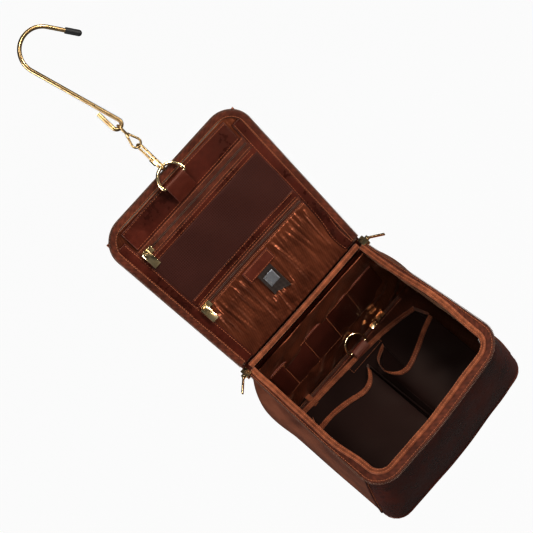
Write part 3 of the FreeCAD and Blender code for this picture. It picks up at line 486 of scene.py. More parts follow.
# %% [markdown]
# ## Paths round corners
# The lid's edge, the mouth's rim and the box's walls all follow a U with rounded corners.
# A path is worked out from its corner points: each corner gives way to an arc that just
# touches both straight runs.  Every run and arc has a fixed number of steps, so two paths
# of different size match point for point, and a wall between them is only a blend.

# %% Rounded paths and profiles carried along them
def unit(v):
    return v / np.linalg.norm(v, axis=-1, keepdims=True)


def rounded_path(corners, radii, runs, turn=10):
    """Straight runs joined by tangent arcs: an arc starts radius / tan(half angle) from its corner."""
    corners = np.array(corners, float)
    start, parts = corners[0], []
    for k, radius in enumerate(radii, start=1):
        here = corners[k]
        back, ahead = unit(corners[k - 1] - here), unit(corners[k + 1] - here)
        half = math.acos(float(back @ ahead)) / 2
        first, last = (here + way * radius / math.tan(half) for way in (back, ahead))
        centre = here + unit(back + ahead) * radius / math.sin(half)
        begin = math.atan2(*(first - centre)[::-1])
        sweep = (math.atan2(*(last - centre)[::-1]) - begin + math.pi) % (2 * math.pi) - math.pi
        angles = begin + sweep * np.linspace(0, 1, turn, endpoint=False)
        parts.append(np.linspace(start, first, runs[k - 1], endpoint=False))
        parts.append(centre + radius * np.stack([np.cos(angles), np.sin(angles)], axis=-1))
        start = last
    parts.append(np.linspace(start, corners[-1], runs[-1] + 1))
    return np.concatenate(parts)


def sideways(path, side):
    """Unit normals of a flat path, to the left of its direction for side = 1."""
    along = unit(np.gradient(path, axis=0))
    return side * np.stack([-along[:, 1], along[:, 0]], axis=-1)


def carry(path, normals, profile):
    """A profile of (outward, height) pairs at every point of a path: point + outward * normal."""
    profile = np.asarray(profile, float)
    if profile.ndim == 2:
        profile = np.repeat(profile[None], len(path), axis=0)
    flat = path[:, None, :] + normals[:, None, :] * profile[..., :1]
    return np.concatenate([flat, profile[..., 1:]], axis=-1)


def follow(path, normals, outward, height):
    """A line beside a path: each point moved `outward` along its normal, at its own height."""
    pair = np.stack([outward + 0 * path[:, 0], height + 0 * path[:, 0]], axis=-1)
    return carry(path, normals, pair[:, None])[:, 0]


def round_bar(width, height, count=16, power=2.6):
    """Closed profile between an ellipse and a rectangle: |x|^p + |y|^p = 1."""
    angle = np.linspace(0, 2 * np.pi, count, endpoint=False)
    c, s = np.cos(angle), np.sin(angle)
    return np.stack([width / 2 * np.sign(c) * abs(c) ** (2 / power),
                     height / 2 * np.sign(s) * abs(s) ** (2 / power)], axis=-1)


LID_END = LID.reach("lid_zip_coil")[1]
FAR_HALF, LENGTH = LID_END[0], LID_END[1]
HINGE_HALF = FAR_HALF - 8.0
CORNER = 32.0


def half_width(y):
    """Half the width of lid and mouth at a distance y from the fold."""
    return HINGE_HALF + (FAR_HALF - HINGE_HALF) * np.abs(y) / LENGTH


def rim_path(start, sign, turn=14):
    """Down one side of the shared outline from y = start, round the far edge and back."""
    near = half_width(start)
    corners = [(-near, sign * start), (-FAR_HALF, sign * LENGTH), (FAR_HALF, sign * LENGTH),
               (near, sign * start)]
    path = rounded_path(corners, [CORNER, CORNER], [60, 44, 60], turn)
    return path, sideways(path, sign)


print("outline:", round(2 * FAR_HALF), "x", round(LENGTH), "mm")

# %% [markdown]
# ## Stitches and zip teeth
# A stitch is a short piece of yarn that rises out of one hole and dips into the next.
# A zip's tooth is shorter, thicker and closer to its neighbour.  Both are the same little
# capsule, repeated at an even pitch along a line, so one function makes rows of them as
# whole arrays.  Each capsule has only two dozen faces.

# %% Rows of small capsules
def row_of(path, normal, pitch, length, wide, tall, arch=0.0, across=False, lift=0.0):
    """Capsules along a line (n, 3): radius falls to 0 at both ends, the middle rises by arch."""
    path = np.asarray(path, float)
    travelled = np.concatenate([[0.0], np.cumsum(np.linalg.norm(np.diff(path, axis=0), axis=-1))])
    count = max(1, int(travelled[-1] // pitch))
    stops = (np.arange(count) + 0.5) * travelled[-1] / count
    centre = np.stack([np.interp(stops, travelled, path[:, k]) for k in range(3)], axis=-1)
    ahead = np.stack([np.interp(stops + 0.4, travelled, path[:, k]) for k in range(3)], axis=-1)
    behind = np.stack([np.interp(stops - 0.4, travelled, path[:, k]) for k in range(3)], axis=-1)
    along = unit(ahead - behind + 1e-9)
    normal = np.broadcast_to(np.asarray(normal, float), path.shape)
    up = unit(np.stack([np.interp(stops, travelled, normal[:, k]) for k in range(3)], axis=-1))
    side = unit(np.cross(along, up))
    if across:
        along, side = side, along
    s = np.array([-1.0, -0.72, 0.0, 0.72, 1.0])[:, None]
    angle = np.linspace(0, 2 * np.pi, 6, endpoint=False)[None, :]
    radius = np.sqrt(1 - s ** 2)
    a = (s * length / 2 + 0 * angle)[None, ..., None]
    b = (radius * np.cos(angle) * wide / 2)[None, ..., None]
    c = (radius * np.sin(angle) * tall / 2 + arch * (1 - s ** 2))[None, ..., None] + lift
    points = centre[:, None, None] + a * along[:, None, None]
    points = points + b * side[:, None, None] + c * up[:, None, None]
    quads = faces_of(5, 6, wrap_cols=True)
    if across:
        quads = quads[:, ::-1]
    numbers = np.arange(count)[:, None, None] * 30 + quads[None]
    return points.reshape(-1, 3), numbers.reshape(-1, 4)


def joined(name, rows, body, finish, local=None, nodes=()):
    """Several rows of capsules as one piece."""
    points, quads, count = [], [], 0
    for some, corners in rows:
        points.append(some)
        quads.append(corners + count)
        count += len(some)
    points = np.concatenate(points)
    world = local.world(points) if local else points * MM
    piece = mesh_piece(name, world, np.concatenate(quads))
    return dress(piece, body, finish, nodes)


def stitched(path, normal=(0, 0, 1), pitch=3.3):
    """One row of yarn: 2.4 mm stitches, 0.7 mm thick, dipping at both ends."""
    return row_of(path, normal, pitch, 2.5, 0.75, 0.6, 0.28)


def teeth(path, normal, pitch=1.7, length=2.6):
    """One row of zip teeth lying across the line."""
    return row_of(path, normal, pitch, length, 1.15, 1.5, across=True)


def level(x, y, z):
    """Points of a line from its x, y and z, where any of the three may be a single number."""
    return np.stack(np.broadcast_arrays(x, y + 0.0 * x, z + 0.0 * x), axis=-1)


def line(*corners, steps=24):
    """Evenly spaced points along straight runs between corners."""
    corners = [np.array(c, float) for c in corners]
    runs = [np.linspace(a, b, steps, endpoint=False) for a, b in zip(corners, corners[1:])]
    return np.concatenate(runs + [corners[-1][None]])


# %% [markdown]
# ## Flat panels with soft edges
# The lid is faced with strips of leather and cloth.  Each is a patch between four edges,
# which may bow.  Near an edge the grid lines crowd together and the surface rounds over,
# like a turned hem, and a shallow groove follows the seam a few millimetres in.

# %% Patches
def places(length, rim, step=5.0):
    """Shares from 0 to 1 that crowd near both ends, where the surface turns down."""
    rim = min(rim, length / 4)
    edge = rim * np.array([0.0, 0.06, 0.25, 0.55, 1.0])
    inner = np.linspace(edge[-1], length - edge[-1], max(3, int((length - 2 * rim) / step) + 2))[1:-1]
    return np.concatenate([edge, inner, length - edge[::-1]]) / length


def at(value, share):
    return value(share) if callable(value) else value + 0 * share


def patch(left, right, low, high, base, thick, rim=1.4, seam=None, swell=0.0, seed=1, step=5.0, relief=None):
    """Points of a panel: x runs from left to right and y from low to high, each edge bowing freely.

    Height is base + thick * sqrt(1 - (1 - d / rim)^2), where d is the distance to the
    nearest edge, less a narrow groove at d = seam, plus ripples and any relief given.
    """
    wide = abs(at(right, np.array([0.5])) - at(left, np.array([0.5])))[0]
    tall = abs(at(high, np.array([0.5])) - at(low, np.array([0.5])))[0]
    a, b = np.meshgrid(places(wide, rim, step), places(tall, rim, step))
    x = at(left, b) + (at(right, b) - at(left, b)) * a
    y = at(low, a) + (at(high, a) - at(low, a)) * b
    edge = np.minimum(np.minimum(a, 1 - a) * wide, np.minimum(b, 1 - b) * tall)
    turn = np.sqrt(1 - (1 - np.clip(edge / rim, 0, 1)) ** 2)
    z = base + thick * turn + swell * ripple(x / 14, y / 14, seed) * turn
    if seam:
        z = z - 0.3 * np.exp(-((edge - seam) / 0.7) ** 2)
    if relief:
        z = z + relief(x, y) * turn
    return np.stack([x, y, z], axis=-1)


print("helpers ready")

# %% [markdown]
# ## Camera and light
# The bag is seen from a little above and to its left, from nearly two metres, with the
# whole picture turned so that the bag hangs at a slant.  The camera looks at a point just
# above the fold.  A long lens keeps the mouth and the back panel nearly parallel.

# %% Camera
AIM = FOLD + np.array([0.0026, 0.0, 0.064])
DISTANCE, LENS = 1.813, 109.0
PITCH, TURN, SLANT = math.radians(17.6), math.radians(5.4), math.radians(46.5)
ahead = np.array([math.sin(TURN) * math.cos(PITCH), math.cos(TURN) * math.cos(PITCH), -math.sin(PITCH)])
right = np.array([math.cos(TURN), -math.sin(TURN), 0.0])
above = np.cross(right, ahead)
camera_data = bpy.data.cameras.new("camera")
camera_data.lens = LENS
camera_data.sensor_width = 36.0
camera_data.clip_start = 0.02
camera = bpy.data.objects.new("camera", camera_data)
bpy.context.scene.collection.objects.link(camera)
view_x = right * math.cos(SLANT) - above * math.sin(SLANT)
view_y = right * math.sin(SLANT) + above * math.cos(SLANT)
eye_point = AIM - ahead * DISTANCE
camera.matrix_world = Matrix([(*row, place) for row, place in zip(np.stack([view_x, view_y, -ahead]).T,
                                                                  eye_point)] + [(0.0, 0.0, 0.0, 1.0)])
bpy.context.scene.camera = camera
print("camera at", np.round(eye_point, 3))


# %% [markdown]
# The light is a studio's.  The key lamp is high on the right, and a lamp low on the right
# catches the folds of the satin.  A side lamp shows the left gusset, a front lamp reaches
# into the box, and one behind picks out the edges.  The floor is a wide sheet of white
# paper.  It looks white to the camera, but it is dim where the leather reflects it, so
# the hide keeps its depth.  A gamma below 1 darkens the middle tones a little more.

# %% Lamps, floor and surround
def lamp(name, place, target, size, power, tint=(1.0, 1.0, 1.0)):
    """A square soft lamp at `place` that faces `target`."""
    data = bpy.data.lights.new(name, "AREA")
    data.shape = "RECTANGLE"
    data.size, data.size_y = size
    data.energy = power
    data.color = tint
    made = bpy.data.objects.new(name, data)
    bpy.context.scene.collection.objects.link(made)
    turn = (Vector(target) - Vector(place)).to_track_quat("-Z", "Y").to_matrix().to_4x4()
    made.matrix_world = Matrix.Translation(place) @ turn
    return made


middle = FOLD + np.array([0.0, 0.0, -0.02])
lamp("key_lamp", (1.0, -1.25, 0.75), middle, (0.6, 0.6), 40.0, (1.0, 0.97, 0.93))
lamp("side_lamp", (-1.5, -0.35, -0.35), middle, (0.6, 1.0), 34.0, (0.97, 0.98, 1.0))
lamp("front_lamp", (-0.25, -1.5, 0.55), middle, (0.6, 0.4), 17.0)
lamp("back_lamp", (0.5, 1.3, 0.5), middle, (1.0, 0.6), 10.0)
lamp("low_lamp", (1.15, -1.1, -0.45), middle, (0.3, 0.4), 19.0, (1.0, 0.96, 0.92))

world = bpy.data.worlds.new("surround")
world.use_nodes = True
sky = world.node_tree
dim = sky.nodes["Background"]
dim.inputs["Color"].default_value = (1.0, 0.98, 0.96, 1.0)
dim.inputs["Strength"].default_value = 0.07
pure = node(sky, "ShaderNodeBackground", {}, {"Color": (1.0, 1.0, 1.0, 1.0), "Strength": 1.0})
seen = node(sky, "ShaderNodeLightPath")
blend_of = node(sky, "ShaderNodeMixShader", {}, {0: seen, 1: Shade(sky, dim.outputs[0]), 2: pure})
sky.links.new(blend_of.socket, sky.nodes["World Output"].inputs["Surface"])
bpy.context.scene.world = world
bpy.context.scene.view_settings.view_transform = "Standard"
bpy.context.scene.view_settings.gamma = 0.79

low_point = CAD_BOX[0][2]
grid = np.stack(np.meshgrid(np.linspace(-60, 60, 7), np.linspace(-60, 60, 7)), axis=-1)
floor = mesh_piece("floor", np.concatenate([grid, np.full((7, 7, 1), low_point - 0.12)], axis=-1).reshape(-1,
                                                                                                          3),
                   faces_of(7, 7))
pale = Finish("pale_floor", None, Roughness=0.9)
pale.feed("Base Color", pale.mix(pale.noise(3.0), (0.08, 0.08, 0.08), (0.09, 0.09, 0.09)))
glow = pale.node("ShaderNodeEmission", {}, {"Color": (1.0, 1.0, 1.0, 1.0), "Strength": 1.0})
seen = pale.node("ShaderNodeLightPath")
paper = pale.node("ShaderNodeMixShader", {}, {0: seen * 0.97, 1: Shade(pale.tree,
                                                                       pale.shader.outputs[0]), 2: glow})
pale.tree.links.new(paper.socket, pale.tree.nodes["Material Output"].inputs["Surface"])
floor.data.materials.append(pale.material)

# %% [markdown]
# ## Hook, link, clip and D-rings
# These are plain bent wires, and their solid shapes are already right, so each keeps its
# own mesh and gets its metal.

# %% Wire parts keep their meshes
def finish_solid(names, finish):
    """Puts a finish on solid pieces that stay as they are."""
    for name in names:
        piece = frame["nodes"][name]
        if not piece.material_slots:
            piece.data.materials.append(finish[1])
        for material_slot in piece.material_slots:
            material_slot.material = finish[1]


finish_solid(["hook_wire", "twist_link", "clip_frame", "clip_collar", "clip_gate"], ANTIQUE)
finish_solid(["lid_ring", "inner_ring"], GOLD)
finish_solid(["hook_tip_cap"], RUBBER)
finish_solid(["lid_board"], FIBRE)
print("wires, rings and cap finished")

# %% [markdown]
# ## Sliders and pulls
# Zip sliders and pulls are cast, so no edge of theirs is sharp.  A copy of each solid's
# mesh has its loose triangles joined and its flat faces made whole.  A bevel then rounds
# every real edge.

# %% Cast edges
def cast(name, body, finish, width):
    """Joined copy of a solid with its edges rounded by width mm."""
    mesh = bmesh.new()
    mesh.from_mesh(frame["nodes"][name].data)
    bmesh.ops.remove_doubles(mesh, verts=mesh.verts, dist=1e-6)
    bmesh.ops.dissolve_limit(mesh, angle_limit=0.02, verts=mesh.verts, edges=mesh.edges)
    data = bpy.data.meshes.new(f"{name}_cast")
    mesh.to_mesh(data)
    mesh.free()
    data.polygons.foreach_set("use_smooth", np.full(len(data.polygons), True))
    piece = bpy.data.objects.new(f"{name}_cast", data)
    bpy.context.scene.collection.objects.link(piece)
    rounding = piece.modifiers.new("rounding", "BEVEL")
    rounding.width = width * MM
    rounding.segments = 2
    rounding.limit_method = "ANGLE"
    rounding.angle_limit = math.radians(40)
    rounding.harden_normals = True
    return dress(piece, body, finish, [name])


for name in ("upper", "lower", "inner"):
    cast(f"{name}_slider", f"{name}_slider", GOLD, 0.25)
    cast(f"{name}_pull", f"{name}_pull", GOLD, 0.3)
for side in ("left", "right"):
    cast(f"slider_{side}", f"slider_{side}", GOLD, 0.25)
    cast(f"pull_{side}", f"pull_{side}", GOLD, 0.3)
print("ten cast pieces")

# %% [markdown]
# ## The lid's shell
# Behind the lid is one padded piece of hide.  Its rounded outline shrinks towards the
# middle in rings, which dome by a millimetre or so, and at the rim it turns forward round
# the stiffening board.

# %% Padded shell
def loop_path(near, far, low, high, radius, near_radius):
    """Closed outline from the middle of its lower edge, with all four corners rounded."""
    corners = [(0, low), (-near, low), (-far, high), (far, high), (near, low), (0, low)]
    return rounded_path(corners, [near_radius, radius, radius, near_radius], [16, 40, 40, 40, 16], 8)[:-1]


def dish(path, centre, rings, seed, swell):
    """Rings of an outline: centre + share * (outline - centre) at each height, closed in the middle."""
    rows = []
    for share, height in rings:
        ring = centre + share * (path - centre)
        dent = swell * ripple(ring[:, 0] / 22, ring[:, 1] / 22, seed) * min(1.0, 3 * (1 - share) + 0.2)
        rows.append(np.concatenate([ring, (height + dent)[:, None]], axis=-1))
    rows = [np.repeat(rows[0].mean(axis=0)[None], len(path), axis=0)] + rows
    return np.stack(rows)


shell_low, shell_high = LID.reach("lid_shell")
edge = loop_path(half_width(0) - 3, FAR_HALF - 3, shell_low[1], shell_high[1], 29.0, 4.0)
middle_of_lid = np.array([0.0, (shell_low[1] + shell_high[1]) / 2])
back = shell_low[2]
SHARES = (0.02, 0.1, 0.2, 0.3, 0.4, 0.5, 0.6, 0.7, 0.8, 0.88, 0.94)
rings = [(s, back - 1.6 * (1 - s ** 4)) for s in (*SHARES, 0.972)]
rings += [(0.985, back + 0.1), (0.996, back + 0.8), (1.0, back + 2.0), (1.0, back + 3.6), (0.996, back + 5.0),
          (0.985, back + 5.4)]
sheet_piece("lid_shell_hide", dish(edge, middle_of_lid, rings, 11, 0.7), "lid", HIDE, ["lid_shell"], LID,
            wrap=(False, True), away=(0.0, 110.0, 40.0))
print("lid shell:", len(edge), "points round")

# %% [markdown]
# ## The lid's face
# The face is a field of satin edged with strips of hide: a wide one along the top and a
# narrow one down each side, with a hem stitched along both of its edges.  The satin
# backing shows only through the mesh pocket.

# %% Backing, strips and top panel
STRIP_OUTER, STRIP_INNER = 7.0, 21.0


def strip_edges(side):
    """The side strips follow the outline: both edges keep their distance from it."""
    def outer(y):
        return side * (half_width(y) - STRIP_OUTER)

    def inner(y):
        return side * (half_width(y) - STRIP_INNER)
    return outer, inner


def field(side, low_y, high_y, tuck=1.0):
    """The cloth between the strips: its edge lies `tuck` mm under a strip's inner edge."""
    return lambda b: side * (half_width(low_y + b * (high_y - low_y)) - STRIP_INNER + tuck)


backing_low, backing_high = LID.reach("lid_lining")
face = backing_high[2]
span = backing_high[1] - backing_low[1]
backing = patch(lambda b: -half_width(backing_low[1] + b * span) + 6.5,
                lambda b: half_width(backing_low[1] + b * span) - 6.5, backing_low[1] + 0.5,
                backing_high[1] - 6, face - 1.3, 0.8, swell=0.12, seed=5)
piece = sheet_piece("lid_backing_satin", backing, "lid", SATIN, ["lid_lining"], LID)
cloth(piece, "stretched", ["lid_board"])

stitch_rows = []
for side, word in ((-1, "left"), (1, "right")):
    low, high = LID.reach(f"lid_{word}_strip")
    outer, inner = strip_edges(side)
    tall = high[1] - low[1]
    kink = 0.0 if side < 0 else 3.2

    def outer_edge(b):
        return outer(low[1] + b * tall) - kink * np.exp(-((b - 0.12) / 0.10) ** 2)

    def inner_edge(b):
        pinch = kink * 1.3 * np.exp(-((b - 0.10) / 0.10) ** 2)
        return inner(low[1] + b * tall) - side * 0.5 * np.sin(9 * b) - pinch

    def crumple(x, y):
        return (0.4 if side > 0 else 0.12) * ripple(x / 6, y / 9, 31) * np.exp(-((y - 40) / 45) ** 2)

    first, last = (outer_edge, inner_edge) if side < 0 else (inner_edge, outer_edge)
    points = patch(first, last, low[1], high[1], face, 1.5, seam=2.2, swell=0.25, seed=20 + side,
                   relief=crumple)
    sheet_piece(f"lid_{word}_strip_hide", points, "lid", HIDE, [f"lid_{word}_strip"], LID)
    b = np.linspace(0.01, 0.99, 90)
    for edge_of, inset in ((outer_edge, -2.2 * side), (inner_edge, 2.2 * side)):
        x, y = edge_of(b) + inset, low[1] + b * tall
        stitch_rows.append(stitched(level(x, y, face + 1.25)))

top_low, top_high = LID.reach("lid_top_panel")
points = patch(top_low[0], top_high[0], top_low[1], lambda a: top_high[1] + 1.5 * (1 - (2 * a - 1) ** 2),
               face, 1.5, seam=2.2, swell=0.3, seed=8)
sheet_piece("lid_top_hide", points, "lid", HIDE, ["lid_top_panel"], LID)
a = np.linspace(0.0, 1.0, 90)
x = top_low[0] + 1 + (top_high[0] - top_low[0] - 2) * a
for y in (top_low[1] + 2.2 + 0 * a, top_high[1] - 2.4 + 1.5 * (1 - (2 * a - 1) ** 2)):
    stitch_rows.append(stitched(level(x, y, face + 1.25)))
print("strips and top panel; rows of stitches:", len(stitch_rows))

# %% [markdown]
# The lid's own zip tape runs all round it outside the strips, and turns down over the
# edge.  It is a profile carried round the outline, a little wavy as sewn tape is, with a
# row of teeth standing out of its fold.

# %% Outer tape and teeth of the lid
path, normals = rim_path(6.5, 1)
wave = 0.5 * ripple(path[:, 0] / 12, path[:, 1] / 12, 41)[:, None]
profile = np.array([(-9.6, face + 0.7), (-9.2, face + 1.5), (-7.5, face + 1.9), (-5.0, face + 2.2),
                    (-2.4, face + 2.3), (-1.0, face + 1.7), (-0.4, face + 0.4), (-0.7, face - 1.2),
                    (-1.7, face - 2.6), (-2.8, face - 3.2)])
band = np.repeat(profile[None], len(path), axis=0)
band[..., 0] += wave * np.linspace(0.6, 0.1, len(profile))
band[..., 1] += 0.25 * wave
sheet_piece("lid_tape_band", carry(path, normals, band), "lid", TAPE, ["lid_zip_tape"], LID, thick=0.5,
            away=(0.0, 110.0, -60.0))
coil_line = follow(path, normals, -1.0, face + 1.9)
joined("lid_coil_teeth", [teeth(coil_line, (0, 0, 1))], "lid", TEETH, LID, ["lid_zip_coil"])
inner_line = follow(path, normals, -8.2, face + 1.95)
stitch_rows.append(stitched(inner_line, pitch=3.0))
print("outer tape: ", len(path), "steps")

# %% [markdown]
# ## Zips, welts and pockets of the lid
# Two level zips cross the lid.  Each has ribbed tape with a row of teeth along its middle.
# A stitched welt of hide lies below each, and the lower one bows up a little in the middle.
# The mesh is stretched flat.  The satin pocket is cut fuller than its opening, so it hangs
# in soft upright folds and gathers where it is sewn in above and at the fold.

# %% Level zips and welts
BOW = {"upper": 0.0, "lower": 1.4}


def bowed(word, a, y):
    """A level edge at y that rises by its BOW in the middle, as 1 - (2a - 1)^2 does."""
    return y + BOW[word] * (1 - (2 * a - 1) ** 2)


for word in ("upper", "lower"):
    low, high = LID.reach(f"{word}_zip_tape")
    points = patch(field(-1, low[1], high[1]), field(1, low[1], high[1]), lambda a: bowed(word, a, low[1]),
                   lambda a: bowed(word, a, high[1]), face - 0.2, 1.0, rim=0.8, swell=0.15, seed=51)
    sheet_piece(f"{word}_zip_band", points, "lid", TAPE, [f"{word}_zip_tape"], LID)
    a = np.linspace(0.005, 0.995, 120)
    x = (half_width(low[1]) - 21.2) * (2 * a - 1)
    middle_y = bowed(word, a, (low[1] + high[1]) / 2)
    coil = level(x, middle_y, face + 1.3)
    rows = [teeth(coil + np.array([0, k, 0]), (0, 0, 1), 1.7, 1.7) for k in (-0.75, 0.75)]
    joined(f"{word}_zip_teeth", rows, "lid", TEETH, LID, [f"{word}_zip_coil"])
    for y in (low[1] + 1.3, high[1] - 1.3):
        stitch_rows.append(stitched(level(x, bowed(word, a, y), face + 0.85), pitch=3.0))

for word in ("upper", "lower"):
    low, high = LID.reach(f"{word}_welt")
    points = patch(field(-1, low[1], high[1]), field(1, low[1], high[1]), lambda a: bowed(word, a, low[1]),
                   lambda a: bowed(word, a, high[1]), face, 1.4, seam=1.9, swell=0.25, seed=61)
    sheet_piece(f"{word}_welt_hide", points, "lid", HIDE, [f"{word}_welt"], LID)
    for y in (low[1] + 1.9, high[1] - 1.9):
        stitch_rows.append(stitched(level(x, bowed(word, a, y), face + 1.2)))

mesh_low, mesh_high = LID.reach("mesh_pocket")
points = patch(field(-1, mesh_low[1], mesh_high[1]), field(1, mesh_low[1], mesh_high[1]), mesh_low[1] - 0.5,
               lambda a: mesh_high[1] + 0.5, face + 0.4, 0.6, rim=1.0, swell=0.3, seed=71,
               relief=lambda x, y: 0.25 * np.sin((x + 0.6 * y) / 9.0))
piece = sheet_piece("mesh_pocket_net", points, "lid", MESH, ["mesh_pocket"], LID)
cloth(piece, "stretched", ["lid_backing_satin"])
print("level zips, welts and mesh")

# %% Satin pocket in folds
satin_low, satin_high = LID.reach("satin_pocket")
label_low, label_high = LID.reach("label_patch")
rng = np.random.default_rng(17)
fold_at = np.linspace(satin_low[0] + 4, satin_high[0] - 4, 21) + rng.uniform(-2.5, 2.5, 21)
fold_wide = rng.uniform(1.3, 3.0, 21)
fold_tall = rng.uniform(1.6, 4.4, 21)
fold_lean = rng.uniform(-0.06, 0.06, 21)
fold_bend = rng.uniform(0, 6.28, 21)
fold_from = rng.uniform(-0.25, 0.35, 21)


def satin_folds(x, y):
    """Upright folds: each is a bell across x, leaning and wandering with y, fading near the top."""
    share = (y - satin_low[1]) / (satin_high[1] - satin_low[1])
    total = 0 * x
    for c, w, t, lean, bend, start in zip(fold_at, fold_wide, fold_tall, fold_lean, fold_bend, fold_from):
        wander = c + lean * (y - 40) + 1.6 * np.sin(share * 4 + bend)
        length = np.clip((share - start) / 0.25, 0, 1) * np.clip((1.02 - share) / 0.22, 0.15, 1)
        total = total + t * length * np.exp(-((x - wander) / w) ** 2)
    sewn = np.exp(-share / 0.10) + 0.7 * np.exp(-(1 - share) / 0.06)
    gathers = 0.55 * np.sin(x / 1.15 + 2 * np.sin(x / 9)) * sewn
    under_label = np.exp(-((x - (label_low[0] + label_high[0]) / 2) / 24) ** 4)
    calm = 1 - 0.92 * under_label * np.clip((share - 0.30) / 0.15, 0, 1)
    return (total + gathers) * calm


points = patch(field(-1, satin_low[1], satin_high[1]), field(1, satin_low[1], satin_high[1]),
               satin_low[1] - 1.5, lambda a: satin_high[1] + 1.4 * (1 - (2 * a - 1) ** 2), face + 0.1, 0.8,
               rim=1.6, step=1.05, relief=satin_folds)
piece = sheet_piece("satin_pocket_cloth", points, "lid", SATIN, ["satin_pocket"], LID)
cloth(piece, "gathered", ["lid_backing_satin"])
print("satin pocket:", points.shape[0] * points.shape[1], "points")

# %% [markdown]
# A blank hide label is stitched over the top of the satin, and a small woven tag with a
# silver square hangs from under it.  Neither carries any lettering.

# %% Label and tag
points = patch(label_low[0], label_high[0], label_low[1], label_high[1] - 0.6, label_low[2] + 0.7, 2.0,
               seam=2.0, swell=0.25, seed=81)
sheet_piece("label_patch_hide", points, "lid", RED_HIDE, ["label_patch"], LID)
top = label_low[2] + 2.5
inset = 2.0
frame_line = line((label_low[0] + inset, label_high[1] - 2.6, top),
                  (label_low[0] + inset, label_low[1] + inset, top),
                  (label_high[0] - inset, label_low[1] + inset, top),
                  (label_high[0] - inset, label_high[1] - 2.6, top),
                  (label_low[0] + inset, label_high[1] - 2.6, top))
stitch_rows.append(stitched(frame_line, pitch=2.8))
tag_low, tag_high = LID.reach("care_tag")
lift = 1.9


def tag_curl(x, y):
    return 0.8 * ((tag_high[1] - y) / 30) ** 2 + 0.25 * np.sin(x / 3.5)


points = patch(tag_low[0], tag_high[0], lambda a: tag_low[1] + 5 - 9 * np.abs(a - 0.15), tag_high[1] + 1.0,
               tag_low[2] + lift, 0.5, rim=0.7, step=1.5, relief=tag_curl)
piece = sheet_piece("care_tag_cloth", points, "lid", TAG, ["care_tag"], LID)
cloth(piece, "hung", ["satin_pocket_cloth"])
middle_x = (tag_low[0] + tag_high[0]) / 2
points = patch(middle_x - 7, middle_x + 7, tag_high[1] - 20, tag_high[1] - 5, tag_low[2] + lift + 1.1, 0.25,
               rim=0.5, step=1.5, relief=tag_curl)
sheet_piece("care_tag_foil", points, "lid", SILVER, (), LID)
print("label and tag, both blank")

# %% [markdown]
# ## The tab that holds the D-ring
# A strap of hide passes round the ring's straight bar and is sewn down in a box below it.
# Its side view is a path: up the back, round the bar in an arc, and down the front.  The
# path is carried across the tab's width, and the wall is given its thickness inwards.

# %% Strap round a bar
def strap(name, local, bar, width, foot_y, back_z, front_z, radius, body, finish, nodes, x=0.0, bulge=0.0):
    """A path up the back, round the bar at `radius`, and down the front, carried across x."""
    top_back, top_front = (bar[0], bar[1] - radius), (bar[0], bar[1] + radius)
    rise = np.linspace(0, 1, 10)[:, None]
    behind = np.array([foot_y, back_z]) * (1 - rise) + np.array(top_back) * rise
    angle = np.linspace(-np.pi / 2, np.pi / 2, 12)[1:-1]
    around = np.stack([bar[0] + radius * np.cos(angle), bar[1] + radius * np.sin(angle)], axis=-1)
    fall = rise ** 1.6
    down = np.array(top_front) * (1 - rise) + np.array([foot_y, front_z]) * rise
    down[:, 1] = top_front[1] * (1 - fall[:, 0]) + front_z * fall[:, 0]
    side_view = np.concatenate([behind, around, down])
    share = np.linspace(-1, 1, 15)
    points = np.empty((len(side_view), 15, 3))
    points[..., 0] = x + share[None] * width / 2 * (1 + bulge * np.linspace(-1, 0, len(side_view))[:, None])
    points[..., 1:] = side_view[:, None]
    points[..., 2] += 0.35 * (1 - share[None] ** 4) * np.clip(points[..., 2] - bar[1], 0, 1)
    piece = sheet_piece(name, points, body, finish, nodes, local, thick=1.9,
                        away=(x, bar[0] - 6, bar[1] - 0.5))
    rounding = piece.modifiers.new("rounding", "BEVEL")
    rounding.width, rounding.segments = 0.35 * MM, 2
    rounding.limit_method = "ANGLE"
    return piece


bar = LID.back(np.array(JOINTS["lid_swing"]["pos_m"]))
tab_low, tab_high = LID.reach("ring_tab")
strap("ring_tab_strap", LID, (bar[1], bar[2]), tab_high[0] - tab_low[0], tab_low[1] + 0.4, face + 1.7,
      face + 5.2, 4.1, "lid", RED_HIDE, ["ring_tab"])
foot = tab_low[1] + 2.4
z = face + 5.5
box_line = line((-11.4, foot, z), (-11.4, foot + 8.5, z + 0.3), (11.4, foot + 8.5, z + 0.3), (11.4, foot, z),
                (-11.4, foot, z))
stitch_rows.append(stitched(box_line, pitch=3.0))
side_line = [line((s * 11.4, foot + 8.5, z + 0.3), (s * 11.4, bar[1] - 4, z + 1.6)) for s in (-1, 1)]
stitch_rows += [stitched(run, pitch=3.0) for run in side_line]
joined("lid_stitching", stitch_rows, "lid", THREAD, LID)
print("ring tab; all rows of stitches on the lid:", len(stitch_rows))

# %% [markdown]
# ## The box's walls
# A gusset closes each side, and the bottom panel takes in the far side with both of its
# corners, up to a piped seam.  At every depth the wall's outline is the same rounded U,
# which grows wider towards the back, so the walls are a blend of outlines.  Soft hide
# never stays flat: it swells a little at mid-depth, bulges beside the fold and wanders by
# a few tenths of a millimetre.

# %% Outline at each depth
back_low, back_high = BOX.reach("back_panel")
MOUTH_Z, FLOOR_Z = BOX.reach("left_gusset")[1][2], back_high[2]
RUN, BEND = 50, 12
SEAM_AT = RUN - 1
BULGE, BULGE_AT, BULGE_REACH = 9.0, 12.0, 42.0


